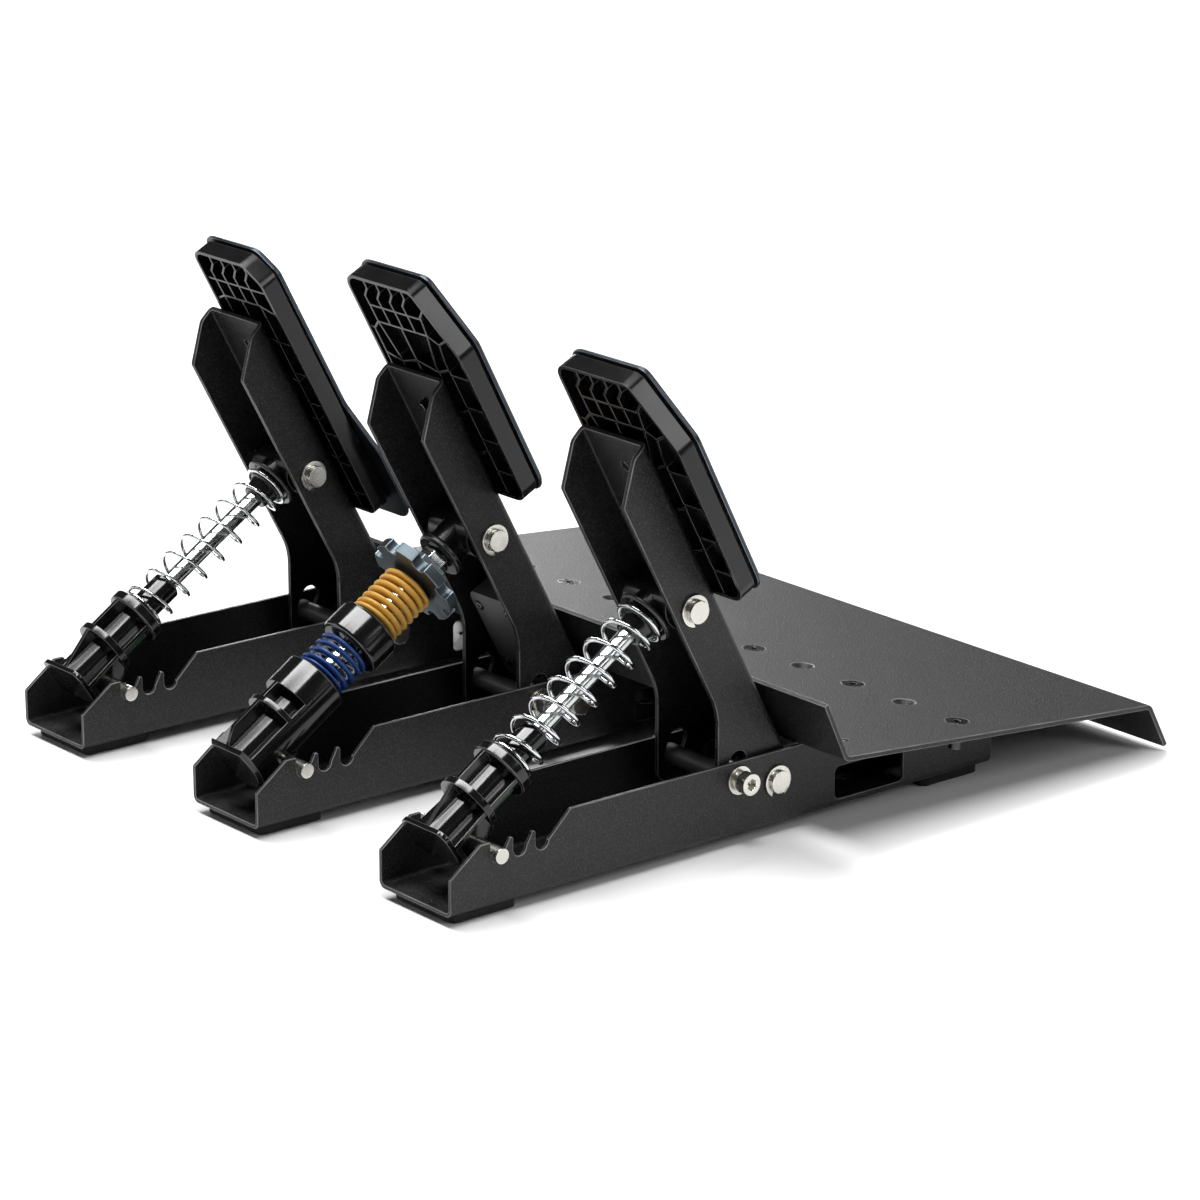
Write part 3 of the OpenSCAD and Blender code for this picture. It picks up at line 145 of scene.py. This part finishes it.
soft_box("overhead_box", place=(0, 0.5, 2.0), aim=(0, 0.45, 0), size=(2.3, 0.42), watts=54)
soft_box("paper_box", place=(1.25, -1.0, 2.6), aim=(1.25, -1.0, 0), size=(1.4, 1.4), watts=46)
soft_box("plate_box", place=(1.98, -1.2, 0.72), aim=(0, 0, 0.05), size=(0.6, 0.5), watts=17)
soft_box("driver_box", place=(-0.3, -2.3, 0.55), aim=(0, 0, 0.1), size=(2.0, 0.8), watts=6)
soft_box("left_box", place=(-2.0, -0.6, 1.3), aim=(0, 0, 0.1), size=(0.7, 1.2), watts=13)
soft_box("front_box", place=(1.5, 1.5, 0.9), aim=(0, 0, 0.1), size=(1.0, 0.8), watts=3)


# Rails: three channels bent from thick steel sheet, with notched front ends,
# cable windows and tabs for the heel plate. They are blasted and covered with
# a black powder coat with pale flecks, partly grain and partly painted glints; its broken edges
# are painted paler, partly scuffing, partly a painted highlight.
def group_tree(name, numbers, results):
    """An empty node group with number inputs and number outputs."""
    tree = bpy.data.node_groups.new(name, "ShaderNodeTree")
    for word, value in numbers.items():
        socket = tree.interface.new_socket(word, in_out="INPUT", socket_type="NodeSocketFloat")
        socket.default_value = value
    for word in results:
        tree.interface.new_socket(word, in_out="OUTPUT", socket_type="NodeSocketFloat")
    return tree, tree.nodes.new("NodeGroupInput"), tree.nodes.new("NodeGroupOutput")


def fine_grain_group():
    """Fine grain over a surface, with broad smudges and scattered bright grains."""
    tree, given, result = group_tree(
        "fine_grain",
        {"Grains per Metre": 1500, "Smudges per Metre": 24, "Speckle": 0.6},
        ("Height", "Smudge", "Speckle"),
    )
    place = tree.nodes.new("ShaderNodeTexCoord")
    grain = tree.nodes.new("ShaderNodeTexNoise")
    grain.inputs["Detail"].default_value = 2
    smudge = tree.nodes.new("ShaderNodeTexNoise")
    smudge.inputs["Detail"].default_value = 4
    speck = tree.nodes.new("ShaderNodeMapRange")
    speck.inputs["From Max"].default_value = 0.75
    for texture, rate in ((grain, "Grains per Metre"), (smudge, "Smudges per Metre")):
        tree.links.new(place.outputs["Object"], texture.inputs["Vector"])
        tree.links.new(given.outputs[rate], texture.inputs["Scale"])
    tree.links.new(grain.outputs["Fac"], speck.inputs["Value"])
    tree.links.new(given.outputs["Speckle"], speck.inputs["From Min"])
    tree.links.new(grain.outputs["Fac"], result.inputs["Height"])
    tree.links.new(smudge.outputs["Fac"], result.inputs["Smudge"])
    tree.links.new(speck.outputs["Result"], result.inputs["Speckle"])
    return tree


def edge_wear_and_highlight_group():
    """The broken edges of a piece, paler in some places than in others: partly scuffing, partly a
    painted highlight.
    """
    tree, given, result = group_tree("edge_wear_and_highlight", {"Rubs per Metre": 120, "Least": 0.4}, ("Wear and Highlight",))
    mark = tree.nodes.new("ShaderNodeAttribute")
    mark.attribute_name = "edge"
    place = tree.nodes.new("ShaderNodeTexCoord")
    edge_patch = tree.nodes.new("ShaderNodeTexNoise")
    span = tree.nodes.new("ShaderNodeMapRange")
    span.inputs["From Min"].default_value = 0.35
    span.inputs["From Max"].default_value = 0.65
    both = tree.nodes.new("ShaderNodeMath")
    both.operation = "MULTIPLY"
    tree.links.new(place.outputs["Object"], edge_patch.inputs["Vector"])
    tree.links.new(given.outputs["Rubs per Metre"], edge_patch.inputs["Scale"])
    tree.links.new(edge_patch.outputs["Fac"], span.inputs["Value"])
    tree.links.new(given.outputs["Least"], span.inputs["To Min"])
    tree.links.new(mark.outputs["Fac"], both.inputs[0])
    tree.links.new(span.outputs["Result"], both.inputs[1])
    tree.links.new(both.outputs["Value"], result.inputs["Wear and Highlight"])
    return tree


fine_grain = fine_grain_group()
edge_wear_and_highlight = edge_wear_and_highlight_group()
weld_gap = 0.000002


class Finish:
    """A material in the making: its nodes, its links and its shader."""

    def __init__(self, name, metal, specular=0.5):
        self.material = bpy.data.materials.new(name)
        self.material.use_nodes = True
        self.nodes = self.material.node_tree.nodes
        self.links = self.material.node_tree.links
        self.shader = self.nodes["Principled BSDF"]
        self.shader.inputs["Metallic"].default_value = metal
        self.shader.inputs["Specular IOR Level"].default_value = specular

    def effect(self, tree, **numbers):
        """A shared effect with this finish's own numbers."""
        node = self.nodes.new("ShaderNodeGroup")
        node.node_tree = tree
        for word, value in numbers.items():
            node.inputs[word.replace("_", " ")].default_value = value
        return node.outputs

    def tone(self, mask, low, high):
        """Colour from low to high along a mask."""
        mix = self.nodes.new("ShaderNodeMix")
        mix.data_type = "RGBA"
        mix.inputs["A"].default_value = (*low, 1)
        mix.inputs["B"].default_value = (*high, 1)
        self.links.new(mask, mix.inputs["Factor"])
        return mix.outputs["Result"]

    def over(self, mask, under, top):
        """A colour laid over another one along a mask."""
        mix = self.nodes.new("ShaderNodeMix")
        mix.data_type = "RGBA"
        mix.inputs["B"].default_value = (*top, 1)
        self.links.new(under, mix.inputs["A"])
        self.links.new(mask, mix.inputs["Factor"])
        return mix.outputs["Result"]

    def colour(self, socket):
        self.links.new(socket, self.shader.inputs["Base Color"])

    def shine(self, mask, low, high):
        """Roughness from low to high along a mask."""
        span = self.nodes.new("ShaderNodeMapRange")
        span.inputs["From Min"].default_value = 0.3
        span.inputs["From Max"].default_value = 0.7
        span.inputs["To Min"].default_value = low
        span.inputs["To Max"].default_value = high
        self.links.new(mask, span.inputs["Value"])
        self.links.new(span.outputs["Result"], self.shader.inputs["Roughness"])

    def relief(self, height, depth, strength):
        """Small heights of that depth in the surface."""
        bump = self.nodes.new("ShaderNodeBump")
        bump.inputs["Distance"].default_value = depth
        bump.inputs["Strength"].default_value = strength
        self.links.new(height, bump.inputs["Height"])
        self.links.new(bump.outputs["Normal"], self.shader.inputs["Normal"])


def powder_coat():
    """Black powder coat: pebbled, satin, with pale flecks that are partly painted glints, grey
    along the broken edges, partly scuffing and partly a painted highlight.
    """
    coat = Finish("powder_coat_black", metal=0.0, specular=0.4)
    grain = coat.effect(fine_grain, Grains_per_Metre=1500, Smudges_per_Metre=14, Speckle=0.48)
    wear_and_highlight = coat.effect(edge_wear_and_highlight, Rubs_per_Metre=60, Least=0.35)
    # Pale flecks in the black: partly grain, partly painted glints.
    black = coat.tone(grain["Speckle"], (0.004, 0.004, 0.0042), (0.045, 0.045, 0.046))
    # Grey on the broken edges: partly scuffing, partly a painted highlight.
    coat.colour(coat.over(wear_and_highlight["Wear and Highlight"], black, (0.2, 0.2, 0.203)))
    coat.shine(grain["Height"], low=0.36, high=0.58)
    coat.relief(grain["Height"], depth=0.00026, strength=0.8)
    return coat.material


def mark_edges(mesh):
    """The rounded faces that stand out, marked for the paler edge colour: partly scuffing, partly
    a painted highlight. Those in corners stay as they are.
    """
    faces_at = {}
    for face in mesh.polygons:
        for key in face.edge_keys:
            faces_at.setdefault(key, []).append(face.index)
    marks = []
    for face in mesh.polygons:
        lean = 0.0
        for key in face.edge_keys:
            for other in faces_at[key]:
                lean += face.normal.dot(mesh.polygons[other].center - face.center)
        marks.append(float(face.material_index == 1 and lean < 0))
    edge_mark = mesh.attributes.new("edge", "FLOAT", "FACE")
    edge_mark.data.foreach_set("value", marks)
    mesh.polygons.foreach_set("material_index", [0] * len(marks))
    mesh.materials.pop(index=1)


def dress(node, made, edge, material):
    """A copy of a solid with its sharp edges broken and marked, riding where the solid rides."""
    turn_limit = math.radians(38)
    solid = frame["nodes"][node]
    piece = bpy.data.objects.new(node + "_" + made, solid.data.copy())
    bpy.context.scene.collection.objects.link(piece)
    bpy.ops.object.select_all(action="DESELECT")
    piece.select_set(True)
    bpy.context.view_layer.objects.active = piece
    piece.data.materials.clear()
    piece.data.materials.append(material)
    piece.data.materials.append(material)
    bpy.ops.mesh.customdata_custom_splitnormals_clear()
    bpy.ops.object.mode_set(mode="EDIT")
    bpy.ops.mesh.select_all(action="SELECT")
    bpy.ops.mesh.remove_doubles(threshold=weld_gap)
    bpy.ops.object.mode_set(mode="OBJECT")
    round_off = piece.modifiers.new("broken_edges", "BEVEL")
    round_off.width = edge
    round_off.segments = 2
    round_off.limit_method = "ANGLE"
    round_off.angle_limit = turn_limit
    round_off.use_clamp_overlap = False
    round_off.loop_slide = False
    round_off.material = 1
    bpy.ops.object.modifier_apply(modifier=round_off.name)
    bpy.ops.object.shade_smooth_by_angle(angle=turn_limit)
    even = piece.modifiers.new("even_light", "WEIGHTED_NORMAL")
    even.keep_sharp = True
    bpy.ops.object.modifier_apply(modifier=even.name)
    mark_edges(piece.data)
    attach(piece, body_of(solid)[0])
    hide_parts(node)


powder = powder_coat()
sheet_edge = 0.0003
for rail in ("clutch_rail", "brake_rail", "gas_rail"):
    dress(rail, "coated", sheet_edge, powder)


# Feet: blocks of black rubber under the ends of the rails, moulded with a dull
# skin and pressed on from below.
def foot_rubber():
    """Matt black rubber, dusty in patches."""
    rubber = Finish("foot_rubber_black", metal=0.0, specular=0.3)
    grain = rubber.effect(fine_grain, Grains_per_Metre=2600, Smudges_per_Metre=90, Speckle=0.6)
    wear_and_highlight = rubber.effect(edge_wear_and_highlight, Rubs_per_Metre=200, Least=0.2)
    black = rubber.tone(grain["Smudge"], (0.009, 0.009, 0.009), (0.02, 0.02, 0.019))
    rubber.colour(rubber.over(wear_and_highlight["Wear and Highlight"], black, (0.035, 0.035, 0.034)))
    rubber.shine(grain["Smudge"], low=0.7, high=0.9)
    rubber.relief(grain["Height"], depth=0.0001, strength=0.5)
    return rubber.material


rubber = foot_rubber()
foot_edge = 0.0006
for feet in ("front_feet", "rear_feet"):
    dress(feet, "moulded", foot_edge, rubber)

# Heel plate: one steel sheet, bent up in front and down behind, drilled and
# countersunk, in the same powder coat. It lies on the rails' tabs.
dress("heel_plate", "coated", sheet_edge, powder)


# Heel plate screws, their nuts and the locating pins: blackened steel, oiled.
# The screws are countersunk and hold the plate to the tabs.
def blackened_steel():
    """Black oxide on steel: dark, a little oily, paler along the broken edges, partly bare steel
    and partly a painted reflection of the chamfers.
    """
    steel = Finish("blackened_steel", metal=1.0)
    grain = steel.effect(fine_grain, Grains_per_Metre=2200, Smudges_per_Metre=300, Speckle=0.6)
    wear_and_highlight = steel.effect(edge_wear_and_highlight, Rubs_per_Metre=400, Least=0.3)
    black = steel.tone(grain["Smudge"], (0.04, 0.04, 0.042), (0.08, 0.08, 0.083))
    # Paler broken edges: partly bare steel, partly a painted reflection of the chamfers.
    steel.colour(steel.over(wear_and_highlight["Wear and Highlight"], black, (0.4, 0.4, 0.41)))
    steel.shine(grain["Smudge"], low=0.2, high=0.32)
    steel.relief(grain["Height"], depth=0.00003, strength=0.4)
    return steel.material


blacked = blackened_steel()
screw_edge = 0.00015
for node in ("heel_plate_screws", "heel_plate_nuts", "locating_pins"):
    dress(node, "blacked", screw_edge, blacked)


# Pivot pins and their clips, stop bolts with washers and nuts: turned or pressed
# steel, barrel-plated with nickel. The pins carry the arms, the bolts stop them.
def plated_steel(name, low, high, worn_and_highlight, rough):
    """Plated steel with faint clouds in the plating, paler along the broken edges: partly
    scuffing, partly a painted highlight.
    """
    plate = Finish(name, metal=1.0)
    grain = plate.effect(fine_grain, Grains_per_Metre=1700, Smudges_per_Metre=170, Speckle=0.6)
    wear_and_highlight = plate.effect(edge_wear_and_highlight, Rubs_per_Metre=300, Least=0.5)
    metal = plate.tone(grain["Smudge"], low, high)
    # Paler broken edges: partly scuffing, partly a painted highlight.
    plate.colour(plate.over(wear_and_highlight["Wear and Highlight"], metal, worn_and_highlight))
    plate.shine(grain["Smudge"], low=rough * 0.7, high=rough * 1.3)
    plate.relief(grain["Height"], depth=0.00003, strength=0.25)
    return plate.material


nickel = plated_steel(
    "nickel_plate",
    low=(0.55, 0.535, 0.49),
    high=(0.67, 0.655, 0.605),
    worn_and_highlight=(0.78, 0.77, 0.73),
    rough=0.26,
)
pin_edge = 0.00025
for node in ("pivot_pins", "pivot_clips", "stop_bolts", "stop_washers", "stop_nuts"):
    dress(node, "plated", pin_edge, nickel)


# Stop sleeves: tubes of dark grey nylon over the bolts, across the rails' channels.
# They are moulded, and the arms' slots meet them at the end of the travel.
def dark_nylon():
    """Dark nylon with a waxy skin."""
    nylon = Finish("dark_grey_nylon", metal=0.0, specular=0.45)
    grain = nylon.effect(fine_grain, Grains_per_Metre=1200, Smudges_per_Metre=220, Speckle=0.6)
    wear_and_highlight = nylon.effect(edge_wear_and_highlight, Rubs_per_Metre=300, Least=0.2)
    grey = nylon.tone(grain["Smudge"], (0.06, 0.06, 0.06), (0.1, 0.1, 0.098))
    nylon.colour(nylon.over(wear_and_highlight["Wear and Highlight"], grey, (0.15, 0.15, 0.148)))
    nylon.shine(grain["Smudge"], low=0.35, high=0.5)
    nylon.relief(grain["Height"], depth=0.00004, strength=0.3)
    return nylon.material


nylon = dark_nylon()
sleeve_edge = 0.0003
dress("stop_sleeves", "moulded", sleeve_edge, nylon)

# Pedal arms: channels of thick sheet, open in front, in the same powder coat.
# Each hangs on its pivot pin between the rail's walls.
for arm in ("clutch_arm", "brake_arm", "gas_arm"):
    dress(arm, "coated", sheet_edge, powder)

# Pivot bushes: flanged, of the same nylon, pressed into the arms from both sides.
# They keep steel off steel on the pivot pins.
bush_edge = 0.00015
for bushes in ("clutch_pivot_bushes", "brake_pivot_bushes", "gas_pivot_bushes"):
    dress(bushes, "moulded", bush_edge, nylon)


# Pad carriers: black moulded plastic, a rim with kinked and crossed ribs behind
# a thin skin. They lie on the arms' webs, ribs towards the arm.
def black_plastic(name, specular, grains, smooth, rough, rubbed_and_highlight):
    """Black plastic with faint flow marks, pale along its broken edges: a painted highlight,
    partly scuffing.
    """
    plastic = Finish(name, metal=0.0, specular=specular)
    grain = plastic.effect(fine_grain, Grains_per_Metre=grains, Smudges_per_Metre=60, Speckle=0.6)
    wear_and_highlight = plastic.effect(edge_wear_and_highlight, Rubs_per_Metre=120, Least=0.45)
    black = plastic.tone(grain["Smudge"], (0.003, 0.003, 0.0032), (0.0065, 0.0065, 0.007))
    # Pale broken edges: a painted highlight, partly scuffing.
    plastic.colour(plastic.over(wear_and_highlight["Wear and Highlight"], black, (rubbed_and_highlight, rubbed_and_highlight, rubbed_and_highlight * 1.03)))
    plastic.shine(grain["Smudge"], low=smooth, high=rough)
    plastic.relief(grain["Height"], depth=0.00004, strength=0.15)
    return plastic.material


satin = black_plastic(
    "satin_black_plastic",
    specular=0.36,
    grains=2200,
    smooth=0.15,
    rough=0.24,
    rubbed_and_highlight=0.11,
)
carrier_edge = 0.00014
for carrier in ("clutch_pad_carrier", "brake_pad_carrier", "gas_pad_carrier"):
    dress(carrier, "moulded", carrier_edge, satin)


# Pad faces: dark blue-grey plates with a stepped edge, seated on the carriers.
# Coated steel, its edge painted paler all round, partly bare steel and partly a painted highlight.
def slate_steel(name, low, high, worn_and_highlight, rough):
    """Blue-grey coating on steel, clouded, paler along the broken edges: partly bare steel, partly
    a painted highlight.
    """
    steel = Finish(name, metal=1.0)
    grain = steel.effect(fine_grain, Grains_per_Metre=1600, Smudges_per_Metre=60, Speckle=0.6)
    wear_and_highlight = steel.effect(edge_wear_and_highlight, Rubs_per_Metre=90, Least=0.45)
    slate = steel.tone(grain["Smudge"], low, high)
    # Paler broken edges: partly bare steel, partly a painted highlight.
    steel.colour(steel.over(wear_and_highlight["Wear and Highlight"], slate, worn_and_highlight))
    steel.shine(grain["Smudge"], low=rough * 0.8, high=rough * 1.25)
    steel.relief(grain["Height"], depth=0.00004, strength=0.3)
    return steel.material


dark_slate = slate_steel(
    "dark_slate_coat",
    low=(0.042, 0.047, 0.057),
    high=(0.05, 0.056, 0.067),
    worn_and_highlight=(0.18, 0.21, 0.24),
    rough=0.36,
)
face_edge = 0.0003
for face in ("clutch_pad_face", "brake_pad_face", "gas_pad_face"):
    dress(face, "pressed", face_edge, dark_slate)

# Pad screws: countersunk, of blackened steel, two to each pad. They go through
# the face and the carrier into the arm's web.
for screws in ("clutch_pad_screws", "brake_pad_screws", "gas_pad_screws"):
    dress(screws, "blacked", screw_edge, blacked)

# Brake sensor cover: a rounded cap of the same dark nylon in the lower part of the
# brake arm, moulded, held by four small blackened screws.
cover_edge = 0.0002
dress("brake_sensor_cover", "moulded", cover_edge, nylon)
dress("brake_cover_screws", "blacked", cover_edge, blacked)


# Sensor boards: small green circuit boards that read the magnets, one under the
# brake's cover and one in each strut housing's pocket.
def circuit_board():
    """Green solder mask, speckled between two greens."""
    board = Finish("sensor_board_green", metal=0.0, specular=0.5)
    grain = board.effect(fine_grain, Grains_per_Metre=900, Smudges_per_Metre=400, Speckle=0.55)
    wear_and_highlight = board.effect(edge_wear_and_highlight, Rubs_per_Metre=500, Least=0.3)
    green = board.tone(grain["Speckle"], (0.006, 0.05, 0.022), (0.02, 0.12, 0.05))
    board.colour(board.over(wear_and_highlight["Wear and Highlight"], green, (0.2, 0.18, 0.1)))
    board.shine(grain["Smudge"], low=0.25, high=0.45)
    board.relief(grain["Height"], depth=0.00005, strength=0.4)
    return board.material


green_board = circuit_board()
board_edge = 0.0001
for node in ("brake_sensor_board", "clutch_sensor_board", "gas_sensor_board"):
    dress(node, "printed", board_edge, green_board)

# Lower strut pins: nickel-plated cross pins that lie in the rails' first notches.
# The strut housings turn on them.
dress("strut_pins", "plated", pin_edge, nickel)

# Strut housings of clutch and gas: glossy black mouldings with a guide sleeve,
# three fins, two collars and a forked foot for the pin.
# The brake's is a windowed barrel of the same plastic.
gloss = black_plastic(
    "gloss_black_plastic",
    specular=0.5,
    grains=500,
    smooth=0.1,
    rough=0.18,
    rubbed_and_highlight=0.1,
)
housing_edge = 0.0002
for housing in ("clutch_housing", "gas_housing", "brake_housing"):
    dress(housing, "moulded", housing_edge, gloss)

# Strut rods: polished steel rods, bright zinc plate, which slide in the sleeves.
# Clutch and gas rods carry a small magnet in the lower end.
rod_zinc = plated_steel(
    "rod_zinc_plate",
    low=(0.5, 0.535, 0.53),
    high=(0.64, 0.67, 0.665),
    worn_and_highlight=(0.74, 0.76, 0.76),
    rough=0.2,
)
rod_edge = 0.0002
for rod in ("clutch_rod", "gas_rod", "brake_rod"):
    dress(rod, "plated", rod_edge, rod_zinc)
magnet_edge = 0.00015
for magnet in ("clutch_rod_magnet", "gas_rod_magnet"):
    dress(magnet, "plated", magnet_edge, nickel)

# Clutch and gas springs: round spring wire wound round the rods, closed at both
# ends, zinc plated. They sit between the sleeve's shoulder and the rod end.
strut_foot = Vector((0, 0.154458, 0.031549))
strut_up = Vector((0, -0.83879, 0.54445))
strut_out = Vector((0, 0.54445, 0.83879))
seat_gap = 0.00015
points_per_turn = 40
closed_turn_rise = 1.04
wire_turn_limit = math.radians(50)


def wound_wire(name, across, low, high, turns, wire_high):
    """An open curve round its own Z axis, with a closed turn at each end."""
    rise = high - low - 2 * seat_gap - wire_high
    close = wire_high * closed_turn_rise
    pitch = (rise - 2 * close) / (turns - 2)
    wire = bpy.data.curves.new(name, "CURVE")
    wire.dimensions = "3D"
    wire.twist_mode = "Z_UP"
    wire.use_fill_caps = True
    path = wire.splines.new("POLY")
    path.points.add(turns * points_per_turn)
    for count, point in enumerate(path.points):
        turn = count / points_per_turn
        angle = turn * math.tau
        open_turns = min(max(turn - 1, 0), turns - 2)
        height = wire_high / 2 + (turn - open_turns) * close + open_turns * pitch
        point.co = (across / 2 * math.cos(angle), across / 2 * math.sin(angle), height, 1)
    spring = bpy.data.objects.new(name, wire)
    bpy.context.scene.collection.objects.link(spring)
    return spring


def fit_spring(spring, node, low, material):
    """The wound wire made a mesh, set on the strut's axis where the solid is."""
    lowest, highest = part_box(node)
    middle = (lowest[0] + highest[0]) / 2
    bpy.ops.object.select_all(action="DESELECT")
    spring.select_set(True)
    bpy.context.view_layer.objects.active = spring
    bpy.ops.object.convert(target="MESH")
    seat = strut_foot + strut_up * (low + seat_gap) + Vector((middle, 0, 0))
    turn = Matrix((Vector((1, 0, 0)), strut_out, strut_up)).transposed()
    spring.matrix_world = Matrix.Translation(seat) @ turn.to_4x4()
    bpy.ops.object.transform_apply(location=True, rotation=True, scale=True)
    bpy.ops.object.mode_set(mode="EDIT")
    bpy.ops.mesh.select_all(action="SELECT")
    bpy.ops.mesh.remove_doubles(threshold=weld_gap)
    bpy.ops.mesh.normals_make_consistent(inside=False)
    bpy.ops.object.mode_set(mode="OBJECT")
    bpy.ops.object.shade_smooth_by_angle(angle=wire_turn_limit)
    spring.data.materials.append(material)
    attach(spring, body_of(frame["nodes"][node])[0])
    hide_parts(node)


spring_zinc = plated_steel(
    "spring_zinc_plate",
    low=(0.6, 0.62, 0.63),
    high=(0.74, 0.76, 0.77),
    worn_and_highlight=(0.84, 0.85, 0.86),
    rough=0.12,
)
spring_low = 0.031
spring_high = 0.10877
spring_across = 0.0184
spring_turns = 9
for pedal, wire_d in (("clutch", 0.0018), ("gas", 0.0014)):
    name = pedal + "_spring_wound"
    spring = wound_wire(name, spring_across, spring_low, spring_high, spring_turns, wire_d)
    spring.data.bevel_depth = wire_d / 2
    spring.data.bevel_resolution = 5
    fit_spring(spring, pedal + "_spring", spring_low, spring_zinc)
    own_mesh(spring)

# Rod ends: half-gloss black plastic eyes with a flange that takes the spring.
# They turn on the upper pins in the arms.
half_gloss = black_plastic(
    "half_gloss_black_plastic",
    specular=0.5,
    grains=900,
    smooth=0.2,
    rough=0.3,
    rubbed_and_highlight=0.07,
)
rod_end_edge = 0.0003
for rod_end in ("clutch_rod_end", "gas_rod_end", "brake_rod_end"):
    dress(rod_end, "moulded", rod_end_edge, half_gloss)


# Brake springs: die springs of flat wire, painted by strength, the lower one dark
# blue and the upper one gold. They bear on the barrel, the cup and the wheel.
def spring_paint(name, low, high, chipped, smooth, rough):
    """Thick glossy paint on spring wire."""
    paint = Finish(name, metal=0.0, specular=0.5)
    grain = paint.effect(fine_grain, Grains_per_Metre=700, Smudges_per_Metre=260, Speckle=0.6)
    paint.colour(paint.over(grain["Speckle"], paint.tone(grain["Smudge"], low, high), chipped))
    paint.shine(grain["Smudge"], low=smooth, high=rough)
    paint.relief(grain["Height"], depth=0.00006, strength=0.2)
    return paint.material


gold = spring_paint(
    "gold_spring_paint",
    low=(0.56, 0.29, 0.04),
    high=(0.7, 0.4, 0.07),
    chipped=(0.75, 0.46, 0.1),
    smooth=0.36,
    rough=0.5,
)
blue = spring_paint(
    "blue_spring_paint",
    low=(0.008, 0.035, 0.15),
    high=(0.014, 0.06, 0.25),
    chipped=(0.025, 0.09, 0.32),
    smooth=0.18,
    rough=0.28,
)
flat_wire_wide = 0.004
flat_spring_across = 0.0176
barrel_floor = 0.033
cup_anchor = 0.04683
lower_spring = ("brake_lower_spring", barrel_floor, 0.0507, 5, 0.0019, blue, "blue_paint")
upper_spring = ("brake_upper_spring", 0.064, 0.0882, 7, 0.0024, gold, "gold_paint")
for wound, joint, anchor, keep in (
    (lower_spring, "brake_cup_slide", barrel_floor, 0.719),
    (upper_spring, "brake_compress", cup_anchor, 0.7137),
):
    name, low, high, turns, wire_high, material, slot = wound
    bpy.ops.curve.primitive_bezier_circle_add(radius=1)
    section = bpy.context.object
    section.data.resolution_u = 6
    section.scale = (flat_wire_wide / 2, wire_high / 2, 1)
    bpy.ops.object.transform_apply(location=False, rotation=False, scale=True)
    spring = wound_wire(name + "_wound", flat_spring_across, low, high, turns, wire_high)
    spring.data.bevel_mode = "OBJECT"
    spring.data.bevel_object = section
    fit_spring(spring, name, low, material)
    bpy.data.objects.remove(section)
    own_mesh(spring)

# Spacer cup: a ring between the two brake springs, moulded in the housings' plastic.
# It slides on the rod as the springs are pressed.
cup_edge = 0.0003
dress("brake_spacer", "moulded", cup_edge, gloss)

# Preload wheel: a notched wheel with a hexagon, machined and coated blue-grey.
# It runs on the rod's thread and sets how hard the gold spring is pressed.
light_slate = slate_steel(
    "light_slate_coat",
    low=(0.07, 0.087, 0.1),
    high=(0.115, 0.14, 0.158),
    worn_and_highlight=(0.33, 0.39, 0.43),
    rough=0.46,
)
wheel_edge = 0.0004
dress("brake_preload_wheel", "machined", wheel_edge, light_slate)

# Upper strut pins and their clips: nickel plated, through both walls of the arms
# and the rod ends' eyes.
for node in ("clutch_upper_pin", "brake_upper_pin", "gas_upper_pin",
             "clutch_upper_clip", "brake_upper_clip", "gas_upper_clip"):
    dress(node, "plated", pin_edge, nickel)
